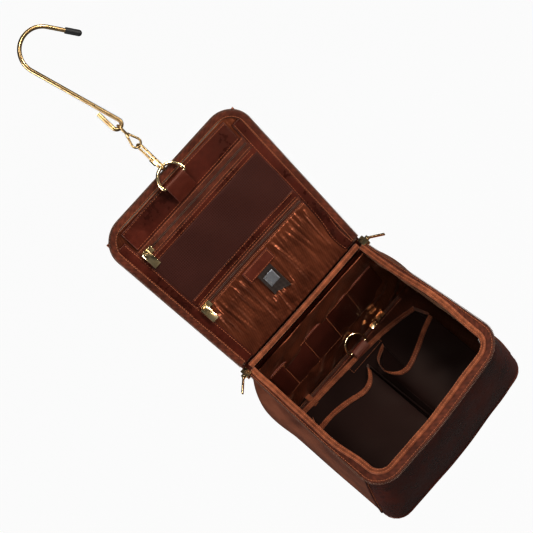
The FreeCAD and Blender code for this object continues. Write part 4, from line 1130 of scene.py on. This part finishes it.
def walls(shares, inset, runs=(RUN, 44, RUN), turn=BEND):
    """The U outline at each share of the depth: half widths, length and corner all blend."""
    rows, outward = [], []
    for share in shares:
        near = HINGE_HALF - 7 + (back_high[0] - HINGE_HALF + 7) * share - inset
        far = FAR_HALF - 7 + (back_high[0] - FAR_HALF + 7) * share - inset
        long = LENGTH - 7 + (-back_low[1] - LENGTH + 7) * share - inset
        corners = [(-near, back_high[1]), (-far, -long), (far, -long), (near, back_high[1])]
        path = rounded_path(corners, [25 - 3 * share - inset] * 2, runs, turn)
        rows.append(path)
        outward.append(sideways(path, -1))
    return np.stack(rows), np.stack(outward)


def skin_of(outline, outward, offset, height):
    """Walls as a grid: outline + offset * outward normal at every height."""
    raised = np.broadcast_to(height[:, None, None], (*offset.shape, 1))
    return np.concatenate([outline + outward * offset[..., None], raised], axis=-1)


def run_round(outline):
    """Distance travelled round an outline, as one row."""
    steps = np.diff(outline, axis=0, prepend=outline[:1])
    return np.cumsum(np.linalg.norm(steps, axis=-1))[None, :]


share = np.concatenate([np.linspace(0, 1, 42), [1.0, 1.0, 1.0, 1.0]])
height = MOUTH_Z + (FLOOR_Z + 0.4 - MOUTH_Z) * np.linspace(0, 1, 42)
height = np.concatenate([height, [FLOOR_Z - 0.8, FLOOR_Z - 2.2, FLOOR_Z - 3.3, FLOOR_Z - 3.6]])
turned_in = np.concatenate([np.zeros(42), [-0.2, -0.9, -2.2, -4.5]])
outline, outward = walls(share, 0.0)
travel = run_round(outline[0])
swell = 1.6 * np.sin(np.pi * share)[:, None] + 0.55 * ripple(travel / 26, height[:, None] / 20, 91)
swell += 0.7 * ripple(travel / 9, height[:, None] / 15, 93) * np.exp(-((travel - 360) / 90) ** 2)
dented = 0.5 * np.exp(-((travel - 60) / 60) ** 2) * np.sin(height[:, None] / 15)
by_fold = sum(np.exp(-((way - BULGE_AT) / BULGE_REACH) ** 2) for way in (travel, travel[0, -1] - travel))
bulge = BULGE * by_fold * np.sin(np.pi * np.clip(share, 0, 1))[:, None] ** 0.8
offset = swell + dented + bulge + turned_in[:, None]
skin = skin_of(outline, outward, offset, height)
inside_box = (0.0, -110.0, -60.0)
last = skin.shape[1]
# The gussets take the lighter copy of the hide, which is painted light.
cuts = {
    "left_gusset": (skin[:, :SEAM_AT + 1], LIT_GUSSET_HIDE),
    "bottom_panel": (skin[:, SEAM_AT:last - SEAM_AT], HIDE),
    "right_gusset": (skin[:, last - SEAM_AT - 1:], LIT_GUSSET_HIDE),
}
for name, (points, finish) in cuts.items():
    sheet_piece(f"{name}_hide", points, "box", finish, [name], BOX, thick=1.8, away=inside_box)
print("walls:", skin.shape[0], "depths x", skin.shape[1], "steps round")

# %% [markdown]
# The seams are piped: a cord wrapped in hide stands proud of each.  Another runs round
# the back panel.  A cord is a small circle carried along the seam's line.

# %% Piping, back panel and top wall
def tube(path, radius, up, count=10):
    """A circle of points round each point of a line, square to its direction."""
    along = unit(np.gradient(path, axis=0))
    up = np.broadcast_to(np.asarray(up, float), path.shape)
    side = unit(np.cross(along, up))
    top = np.cross(side, along)
    angle = np.linspace(0, 2 * np.pi, count, endpoint=False)[None, :, None]
    ring = radius * (np.cos(angle) * side[:, None] + np.sin(angle) * top[:, None])
    return closed(path[:, None] + ring)


seams = []
for spot, word in ((SEAM_AT, "left"), (last - SEAM_AT - 1, "right")):
    seam = skin[1:42, spot].copy()
    seam[:, 0] += 0.5 * np.sign(seam[0, 0])
    seams.append(seam)
    sheet_piece(f"{word}_seam_piping", tube(seam, 1.5, (1, 0, 0)), "box", HIDE, ["gusset_piping"], BOX,
                wrap=(False, True))
back_seam = skin[43].copy()
back_seam[:, 2] -= 0.3
sheet_piece("back_seam_piping", tube(back_seam[::2], 1.4, (0, 0, 1)), "box", HIDE, (), BOX,
            wrap=(False, True))

edge = loop_path(back_high[0] - 3.2, back_high[0] - 3.2, back_high[1] + 0.3, back_low[1] + 3.2, 19.0, 8.0)
middle_of_back = np.array([0.0, (back_low[1] + back_high[1]) / 2])
rings = [(s, back_low[2] - 1.3 * (1 - s ** 4)) for s in (*SHARES, 0.97)]
rings += [(0.985, back_low[2] + 0.1), (1.0, back_low[2] + 0.9), (1.004, back_low[2] + 2.4)]
sheet_piece("back_panel_hide", dish(edge, middle_of_back, rings, 95, 0.8), "box", HIDE, ["back_panel"], BOX,
            wrap=(False, True), away=(0.0, -110.0, -60.0))

top_low, top_high = BOX.reach("top_wall")


def near_half(z, inset):
    """Half width of the box beside the fold at a height z."""
    deep = (z - MOUTH_Z) / (FLOOR_Z - MOUTH_Z)
    return HINGE_HALF - 7 + (back_high[0] - HINGE_HALF + 7) * deep - inset


def ceiling(points, level, down=1):
    """Lays a patch drawn as (x, z, height) against a ceiling at y = level."""
    return np.stack([points[..., 0], level - down * points[..., 2], points[..., 1]], axis=-1)


def across_box(z_low, z_high, inset, side):
    return lambda b: side * near_half(z_low + b * (z_high - z_low), inset)


z_range = (top_low[2] + 0.5, top_high[2] + 1.5)
points = patch(across_box(*z_range, 0.5, -1), across_box(*z_range, 0.5, 1), *z_range, 0.0, 1.2, rim=2.0,
               swell=0.5, seed=97)
sheet_piece("top_wall_hide", ceiling(points, top_high[1] - 1.0, -1), "box", HIDE, ["top_wall"], BOX,
            away=inside_box)
print("piping, back panel and top wall")

# %% [markdown]
# ## The mouth's rim
# From inside outwards the rim is a folded, stitched binding, then a band of zip tape that
# slopes down a little, then the zip's teeth.  Sewn by hand round a soft wall, the binding
# wanders in and out, so its offset and height carry a slow ripple.  The rim is narrower
# along the sides, where the tape turns down, than along the far edge, where it lies flat.

# %% Binding, tape and teeth of the mouth
path, normals = rim_path(4.0, -1)
path_run = np.concatenate([[0.0], np.cumsum(np.linalg.norm(np.diff(path, axis=0), axis=-1))])
BINDING_AT, SIDE_WIDTH = -14.6, 0.56
far_share = np.clip((np.abs(path[:, 1]) - 130) / 75, 0, 1)
narrow = SIDE_WIDTH + (1 - SIDE_WIDTH) * far_share * far_share * (3 - 2 * far_share)
drift = 0.9 * ripple(path_run / 24, 0 * path_run, 101) + 0.35 * ripple(path_run / 6, 0 * path_run, 103)
rise = 0.7 * ripple(path_run / 30, 0 * path_run, 105)
bind_low, bind_high = BOX.reach("mouth_binding")
bind_z = (bind_low[2] + bind_high[2]) / 2
bar_profile = round_bar(7.2, 6.0, 20)[None] + np.zeros((len(path), 1, 2))
bar_profile[..., 0] += (BINDING_AT * narrow + drift)[:, None]
bar_profile[..., 1] += (bind_z + 0.4 + rise)[:, None]
sheet_piece("mouth_binding_roll", closed(carry(path, normals, bar_profile)), "box", BINDING,
            ["mouth_binding"], BOX, wrap=(False, True))
rim_rows = []
for place, lift_by in ((1.7, 2.8), (-1.7, 2.75)):
    row_line = follow(path, normals, BINDING_AT * narrow + place + drift, bind_z + 0.4 + rise + lift_by)
    rim_rows.append(stitched(row_line, pitch=3.0))

tape_high = BOX.reach("mouth_zip_tape")[1]
profile = np.array([(-12.4, 0.6), (-11.0, 0.9), (-9.0, 0.7), (-6.0, 0.3), (-3.2, 0.1), (-1.6, -0.5),
                    (-1.2, -2.0), (-1.9, -3.6), (-3.6, -4.9), (-6.0, -5.6)])
band = profile[None] + np.array([0.0, tape_high[2]]) + np.zeros((len(path), 1, 1))
band[..., 0] *= narrow[:, None]
band[..., 1] += (0.35 * rise)[:, None]
band[..., 0] += (0.35 * drift)[:, None] * np.linspace(1, 0.3, len(profile))
sheet_piece("mouth_tape_band", carry(path, normals, band), "box", TAPE, ["mouth_zip_tape"], BOX, thick=0.5,
            away=(0.0, -110.0, -60.0))
tooth_line = follow(path, normals, -1.4 * narrow, tape_high[2] - 0.2 + 0.35 * rise)
joined("mouth_coil_teeth", [teeth(tooth_line, (0, 0, 1))], "box", TEETH, BOX, ["mouth_zip_coil"])
edge_line = follow(path, normals, -4.4 * narrow, tape_high[2] + 0.3 + 0.35 * rise)
rim_rows.append(stitched(edge_line, pitch=3.0))
for seam in seams:
    beside = seam[2:-3].copy()
    beside[:, 0] -= np.sign(seam[0, 0]) * 0.1
    beside[:, 1] -= 3.0
    rim_rows.append(stitched(beside, (np.sign(seam[0, 0]), 0, 0)))
print("rim:", len(path), "steps,", len(rim_rows), "rows of stitches")

# %% [markdown]
# ## The fold
# A sewn roll of binding runs along the fold inside.  Outside, one sheet of hide carries
# on from the lid's back to the box's top wall.  It would bend when the bag is shut; here
# it is one fixed curve from the lid at one edge to the box at the other, joined to neither.

# %% Roll and bending hide at the fold
roll_low, roll_high = LID.reach("hinge_binding")
x = np.linspace(roll_low[0], roll_high[0], 110)
wave = 0.7 * ripple(x / 22, 0 * x, 111)
sag = -1.2 * (1 - (x / roll_high[0]) ** 2)
centre = level(x, sag + 0.5 * wave, 0.4 + 0.3 * wave)
profile = round_bar(7.0, 5.2, 18)
roll = centre[:, None] + np.concatenate([np.zeros((18, 1)), profile], axis=-1)[None]
sheet_piece("fold_roll", closed(roll), "lid", BINDING, ["hinge_binding"], LID, wrap=(False, True))
fold_rows = [stitched(centre + np.array([0, k, 2.45]), pitch=3.0) for k in (-1.9, 1.9)]
joined("fold_stitching", fold_rows, "lid", THREAD, LID)

upper_edge = np.array([0.0, 9.0, LID.reach("lid_shell")[0][2] - 0.9])
lower_edge = BOX.back(BOX.world((0.0, top_high[1] + 0.9, -16.0)))
start, end = LID.world(upper_edge), BOX.world(lower_edge)
control = LID.world((0.0, -7.0, upper_edge[2] - 1.0))
s = np.linspace(0, 1, 26)[:, None]
curve = (1 - s) ** 2 * start + 2 * s * (1 - s) * control + s ** 2 * end
wide = np.linspace(-1, 1, 41)
bend = np.repeat(curve[:, None], 41, axis=1)
bend[..., 0] += wide[None] * (HINGE_HALF - 1.0) * MM
bend[..., 1] += 0.0006 * ripple(12 * wide[None], 4 * s, 113)
flap = sheet_piece("fold_hide", bend / MM, None, HIDE, (), None, thick=1.2, away=tuple(FOLD / MM))
tuple(start)
tuple(end)
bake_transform(flap)
print("roll and bending hide at the fold")

# %% [markdown]
# ## The satin lining
# The lining is cut loose.  It hangs in soft swags from the top wall and lies in shallow
# wrinkles on the sides and floor.  All three are patches pushed in from the walls.

# %% Lining of top wall, sides and floor
def swags(x, z):
    """Loose satin: slanting ridges that fade under the loop strip, where the cloth is held."""
    held = 1 - 0.8 * np.exp(-((z + 60) / 24) ** 4)
    slant = np.sin(x / 11 + 0.9 * np.sin(z / 13 + x / 60)) ** 3
    slant = slant + 0.6 * np.sin((x - 1.6 * z) / 7.5 + np.sin(x / 17))
    deep = np.clip(-z / 40, 0.3, 1)
    return held * deep * (2.4 * slant + 2.2 * ripple(x / 9, z / 7, 121) + 1.6)


lining_top = top_low[1] - 0.9
z_range = (FLOOR_Z + 1.0, MOUTH_Z - 3.0)
points = patch(across_box(*z_range, 4.6, -1), across_box(*z_range, 4.6, 1), *z_range, 0.0, 0.5, rim=1.5,
               step=1.7, relief=lambda x, z: np.clip(swags(x, z), -0.3, 6.0))
piece = sheet_piece("top_lining_satin", ceiling(points, lining_top), "box", SATIN, ["lining_tub"], BOX,
                    away=(0.0, 60.0, -60.0))
cloth(piece, "gathered", ["top_wall_hide"])

share = np.linspace(0.01, 0.995, 46)
outline, outward = walls(share, 4.5)
height = MOUTH_Z + (FLOOR_Z - MOUTH_Z) * share
travel = run_round(outline[0])
wrinkle = 0.9 * ripple(travel / 12, height[:, None] / 10,
                       123) + 0.5 * np.sin(travel / 9 + height[:, None] / 14)
offset = -0.5 - np.clip(wrinkle, -0.6, 1.6) * np.sin(np.pi * share)[:, None]
skin_in = skin_of(outline, outward, offset, height)
piece = sheet_piece("side_lining_satin", skin_in[:, 1:-1], "box", SATIN, ["lining_tub"], BOX,
                    away=(0.0, -110.0, -900.0))
cloth(piece, "gathered", ["left_gusset_hide"])

edge = loop_path(back_high[0] - 5, back_high[0] - 5, back_high[1] - 5.5, back_low[1] + 5, 17.0, 3.0)
rings = [(s, FLOOR_Z + 0.9) for s in (0.02, 0.15, 0.3, 0.45, 0.6, 0.7, 0.8, 0.88, 0.94, 0.98)]
rings.append((1.0, FLOOR_Z + 0.2))
# The floor piece uses the darker satin copy, which is painted shade.
sheet_piece("floor_lining_satin", dish(edge, middle_of_back, rings, 125, 0.35), "box", SHADED_SATIN,
            ["lining_tub"], BOX, wrap=(False, True), away=(0.0, -110.0, -400.0))
print("lining in three pieces")

# %% [markdown]
# ## Loop strip and inner zip
# A broad strip of hide crosses the top wall and is sewn down in four places, which leaves
# five flat loops for a razor or a brush.  Below it a zip crosses the whole back wall.

# %% Loop strip
loop_low, loop_high = BOX.reach("loop_strip")
seam_x = np.array([-66.0, -29.0, 8.0, 45.0])
held_x = np.concatenate([[loop_low[0]], seam_x, [loop_high[0]]])


def loops(x, z):
    """Each loop bows out between its seams: a flattened arch, 1.5 mm high."""
    slot_number = np.clip(np.searchsorted(held_x, x) - 1, 0, len(held_x) - 2)
    left, right_end = held_x[slot_number], held_x[slot_number + 1]
    share_of = np.clip((x - left) / (right_end - left), 0, 1)
    return 1.5 * np.sqrt(np.clip(1 - (2 * share_of - 1) ** 6, 0, 1)) - 0.5


points = patch(loop_low[0], loop_high[0], loop_low[2], loop_high[2], 0.0, 1.5, rim=1.0, step=2.4, swell=0.3,
               seed=131, relief=loops)
sheet_piece("loop_strip_hide", ceiling(points, loop_high[1] + 0.2), "box", RED_HIDE, ["loop_strip"], BOX,
            away=(0.0, 60.0, -60.0))
inside_rows = []
sewn_y = loop_high[1] + 0.2 - 1.35
for x in seam_x:
    seam_line = line((x, sewn_y - 0.2, loop_low[2] + 1), (x, sewn_y - 0.2, loop_high[2] - 1))
    inside_rows.append(row_of(seam_line, (0, -1, 0), 3.4, 2.7, 1.3, 0.9, 0.3))
for z in (loop_low[2] + 1.4, loop_high[2] - 1.4):
    inside_rows.append(stitched(line((loop_low[0] + 1, sewn_y - 0.9, z), (loop_high[0] - 1, sewn_y - 0.9, z),
                                     steps=60), (0, -1, 0), 3.0))

# %% Inner zip
zip_low, zip_high = BOX.reach("inner_zip_tape")
points = patch(zip_low[0], zip_high[0], zip_low[1], zip_high[1], zip_low[2] - 0.1, 0.9, rim=0.8, swell=0.25,
               seed=133)
behind_floor = (0.0, -110.0, -400.0)
sheet_piece("inner_zip_band", points, "box", TAPE, ["inner_zip_tape"], BOX, away=behind_floor)
coil_low, coil_high = BOX.reach("inner_zip_coil")
middle_y = (coil_low[1] + coil_high[1]) / 2
x = np.linspace(zip_low[0] + 1, zip_high[0] - 1, 90)
coil = level(x, middle_y, coil_low[2] + 0.7)
joined("inner_zip_teeth", [teeth(coil + np.array([0, k, 0]), (0, 0, 1), 1.7, 1.7) for k in (-0.75, 0.75)],
       "box", TEETH, BOX, ["inner_zip_coil"])
for y in (zip_low[1] + 1.0, zip_high[1] - 1.0):
    inside_rows.append(stitched(level(x, y, zip_high[2] + 0.1), pitch=3.0))
print("loop strip, inner zip")

# %% [markdown]
# ## Nylon organizer
# A nylon panel hangs on the back wall under the zip.  Its bound top edge droops to the
# right.  Two pockets are sewn to it.  Their fronts are cut fuller than the panel, so they
# stand open: the left mouth dips a little, and the right one hangs in a deep loop.  Each
# front is a sheet between its bound mouth and its seam below, pushed out in the middle,
# with creases that fall from the places where it is held.

# %% Bound edges
def bound(name, path, wide_way, face_way, width=7.0, thick=2.0, rows=inside_rows, seed=1):
    """Folded binding along an edge: a flat oval carried along the line, with one row of stitches."""
    path = np.asarray(path, float)
    run = np.concatenate([[0.0], np.cumsum(np.linalg.norm(np.diff(path, axis=0), axis=-1))])
    wide_way = unit(np.broadcast_to(np.asarray(wide_way, float), path.shape))
    face_way = unit(np.broadcast_to(np.asarray(face_way, float), path.shape))
    profile = round_bar(width, thick, 16)
    waver = 1 + 0.06 * ripple(run / 9, 0 * run, seed)
    across_part = profile[None, :, :1] * waver[:, None, None] * wide_way[:, None]
    ring = across_part + profile[None, :, 1:] * face_way[:, None]
    sheet_piece(name, closed(path[:, None] + ring), "box", BINDING, (), BOX, wrap=(False, True))
    for k in (-1.7, 1.9):
        rows.append(stitched(path + wide_way * k + face_way * (thick / 2 - 0.15), face_way, 3.0))


def curve_through(points, count=80, smooth=9):
    """A smooth line through a few points: straight runs, then a moving average that keeps the ends."""
    points = np.array(points, float)
    run = np.concatenate([[0.0], np.cumsum(np.linalg.norm(np.diff(points, axis=0), axis=-1))])
    even = np.linspace(0, run[-1], count)
    line_ = np.stack([np.interp(even, run, points[:, k]) for k in range(points.shape[1])], axis=-1)
    for _ in range(3):
        before = 2 * line_[:1] - line_[smooth:0:-1]
        after = 2 * line_[-1:] - line_[-2:-smooth - 2:-1]
        padded_line = np.concatenate([before, line_, after])
        window = np.ones(2 * smooth + 1) / (2 * smooth + 1)
        line_ = np.stack([np.convolve(padded_line[:, k], window, "valid") for k in range(points.shape[1])],
                         axis=-1)
    return line_


org_low, org_high = BOX.reach("organizer_panel")
droop = curve_through([(org_low[0], org_high[1]), (-80, org_high[1] - 0.5), (0, org_high[1] - 5),
                       (52, org_high[1] - 9), (80, org_high[1] - 17), (org_high[0], org_high[1] - 22)])


def panel_top(a):
    return np.interp(org_low[0] + a * (org_high[0] - org_low[0]), droop[:, 0], droop[:, 1])


points = patch(org_low[0], org_high[0], org_low[1], panel_top, org_low[2], 1.2, rim=0.9, swell=0.7, seed=141,
               step=4.0)
piece = sheet_piece("organizer_nylon", points, "box", NYLON, ["organizer_panel"], BOX, away=behind_floor)
cloth(piece, "hung", ["floor_lining_satin"])
top_line = np.concatenate([droop, np.full((len(droop), 1), org_high[2] + 1.4)], axis=-1)
bound("organizer_binding", top_line - np.array([0, 2.5, 0]), (0, 1, 0), (0, 0, 1), 7.4, 2.4, seed=3)
print("organizer panel")


# %% Pocket fronts
def pocket_front(name, mouth_line, foot_y, foot_z, fullness, node, seed, narrow=2.0, rows=44):
    """A sheet from its bound mouth down to its seam: a blend of the two lines plus a full middle.

    Height gains fullness * sin(pi * share) ** 0.7, and creases run down from both corners.
    """
    share_down = np.linspace(0, 1, rows)[:, None]
    a = np.linspace(0, 1, len(mouth_line))[None, :]
    middle_x = mouth_line[:, 0].mean()
    foot = level(middle_x + (mouth_line[:, 0] - middle_x) * (1 - narrow / 40), foot_y, foot_z)
    points = mouth_line[None] * (1 - share_down[..., None]) + foot[None] * share_down[..., None]
    full = np.sin(np.pi * np.clip(0.12 + 0.88 * share_down, 0, 1)) ** 0.7 - np.sin(np.pi * 0.12) ** 0.7
    across = np.sin(np.pi * np.clip(a, 0.02, 0.98)) ** 0.45
    x, y = points[..., 0], points[..., 1]
    crease = 1.5 * np.sin((x + 0.75 * y) / 11 + 1.3 * np.sin(y / 23)) * share_down * (1 - share_down) * 2
    from_corner = x - mouth_line[-1, 0] + 0.9 * (y - mouth_line[-1, 1])
    crease += 1.3 * np.exp(-((from_corner + 14) / 7) ** 2) * (1 - share_down)
    crease += 0.9 * ripple(x / 16, y / 13, seed) * np.clip(4 * share_down * (1 - share_down), 0, 1)
    points[..., 2] += fullness * full * across + crease * across
    piece = sheet_piece(name, points, "box", NYLON, [node], BOX, thick=0.5, away=behind_floor)
    cloth(piece, "hung", ["organizer_nylon"])


pocket_low, pocket_high = BOX.reach("left_pocket")
front_z = pocket_high[2]
left_line = curve_through([(pocket_low[0], -65, front_z - 4), (-70, -66, front_z - 0.8),
                           (-45, -72, front_z + 0.4), (-24, -81, front_z + 0.8), (-10, -76, front_z - 0.4),
                           (-1.0, -62, front_z - 3)], smooth=5)
pocket_front("left_pocket_nylon", left_line, pocket_low[1] + 1, org_high[2] + 3.5, 5.5, "left_pocket", 151)
bound("left_pocket_binding", left_line - np.array([0, 2.6, -0.4]), (0, 1, 0.1), (0, -0.1, 1), 7.2, 2.2,
      seed=5)

right_low, right_high = BOX.reach("right_pocket")
right_line = curve_through([(8.0, -83, front_z - 1), (12, -97, front_z + 0.5), (24, -106, front_z + 1.2),
                            (52, -97, front_z + 0.8), (75, -86, front_z - 1),
                            (right_high[0], -80, front_z - 4)], smooth=5)
pocket_front("right_pocket_nylon", right_line, right_low[1] + 1, org_high[2] + 3.5, 5.0, "right_pocket", 153)
bound("right_pocket_binding", right_line - np.array([0, 2.4, -0.4]), (0, 1, 0.1), (0, -0.1, 1), 7.0, 2.2,
      seed=7)


def pocket_side(name, back_line, front_line, node, rows=30):
    """A gusset from the panel out to a pocket front: a blend of two upright lines, folded inwards."""
    b = np.linspace(0, 1, 14)[None, :, None]
    points = back_line[:, None] * (1 - b) + front_line[:, None] * b
    points[..., 0] += 2.2 * np.sin(np.pi * b[..., 0]) * np.sign(-back_line[:1, :1].mean() + 20)
    piece = sheet_piece(name, points, "box", NYLON, [node], BOX, thick=0.4)
    cloth(piece, "hung", ["organizer_nylon"])


down = np.linspace(0, 1, 30)[:, None]


def drop(top, foot):
    return np.array(top, float) * (1 - down) + np.array(foot, float) * down


foot_y, foot_z = pocket_low[1] + 2, org_high[2] + 2.0
pocket_side("left_pocket_side", drop((-86, -40, foot_z), (-86, foot_y, foot_z)),
            drop((pocket_low[0] + 0.5, -65, front_z - 4), (pocket_low[0] + 3, foot_y, foot_z + 3)),
            "left_pocket")
pocket_side("right_pocket_inner_side", drop((33, -46, foot_z), (20, foot_y, foot_z)),
            drop((8.0, -83, front_z - 1), (8, foot_y, foot_z + 3)), "right_pocket")
pocket_side("right_pocket_outer_side", drop((right_high[0] - 3, -46, foot_z),
                                            (right_high[0] - 3, foot_y, foot_z)),
            drop((right_high[0], -80, front_z - 4), (right_high[0] - 2, foot_y, foot_z + 3)), "right_pocket")
divider = drop((0.5, -50, foot_z), (0.5, foot_y, foot_z))
pocket_side("pocket_divider_nylon", divider, drop((1.5, -62, front_z - 3), (1.5, foot_y, foot_z + 3)),
            "pocket_divider")

half_up = (foot_z + front_z) / 2
side_edges = {
    "left_side_binding": [(-86, -40, foot_z + 1), (-90, -52, half_up),
                          (pocket_low[0] + 0.5, -65, front_z - 3)],
    "right_inner_binding": [(33, -46, foot_z + 1), (18, -55, foot_z + 9), (9, -68, front_z - 6),
                            (8, -83, front_z - 0.5)],
    "right_outer_binding": [(right_high[0] - 2, -46, foot_z + 1), (right_high[0] - 1, -62, half_up),
                            (right_high[0], -80, front_z - 3)],
    "divider_binding": [(0.5, -50, foot_z + 1), (1, -56, half_up), (1.5, -62, front_z - 3)],
}
for name, corners in side_edges.items():
    bound(name, curve_through(corners, 36, 5), (0.3, 0.6, 0.6), (0.2, -0.7, 0.7), 6.0, 1.8, seed=9)
print("pockets with their bindings")

# %% Patch, strap, tab and label inside
patch_low, patch_high = BOX.reach("organizer_patch")
points = patch(patch_low[0], patch_high[0], patch_low[1] - 4, patch_high[1] - 3, patch_low[2] + 0.2, 0.9,
               rim=0.8, seam=1.6, swell=0.3, seed=161)
piece = sheet_piece("organizer_patch_nylon", points, "box", NYLON, ["organizer_patch"], BOX,
                    away=behind_floor)
cloth(piece, "stretched", ["organizer_nylon"])
z = patch_high[2] + 0.6
low_y, high_y = patch_low[1] - 2.6, patch_high[1] - 4.4
inside_rows.append(stitched(line((patch_low[0] + 1.4, high_y, z), (patch_low[0] + 1.4, low_y, z),
                                 (patch_high[0] - 1.4, low_y, z), (patch_high[0] - 1.4, high_y, z)),
                            pitch=3.0))
strap_low, strap_high = BOX.reach("organizer_strap")
points = patch(strap_low[0], strap_high[0], strap_low[1] - 9, strap_high[1], strap_low[2], 1.2, rim=0.9,
               swell=0.4, seed=163)
sheet_piece("organizer_strap_cloth", points, "box", BINDING, ["organizer_strap"], BOX, away=behind_floor)
bar_inside = BOX.back(np.array(JOINTS["inner_ring_swing"]["pos_m"]))
ring_tab_low, ring_tab_high = BOX.reach("inner_ring_tab")
strap("inner_ring_strap", BOX, (bar_inside[1], bar_inside[2]), ring_tab_high[0] - ring_tab_low[0],
      ring_tab_low[1] + 0.5, org_high[2] + 1.6, org_high[2] + 3.6, 3.1, "box", RED_HIDE, ["inner_ring_tab"],
      x=(ring_tab_low[0] + ring_tab_high[0]) / 2)
tag_low, tag_high = BOX.reach("blank_label")
points = patch(tag_low[1], tag_high[1], tag_low[2], tag_high[2], 0.0, 0.6, rim=0.8, step=2.0,
               relief=lambda y, z: 0.8 * np.sin((z - tag_low[2]) / 5))
turned = np.stack([tag_high[0] - points[..., 2], points[..., 0], points[..., 1]], axis=-1)
piece = sheet_piece("blank_label_cloth", turned, "box", LABEL, ["blank_label"], BOX,
                    away=(400.0, -180.0, -60.0))
cloth(piece, "hung", ["side_lining_satin"])
joined("inside_stitching", inside_rows, "box", THREAD, BOX)
joined("rim_stitching", rim_rows, "box", THREAD, BOX)
print("small pieces inside; rows of stitches:", len(inside_rows) + len(rim_rows))
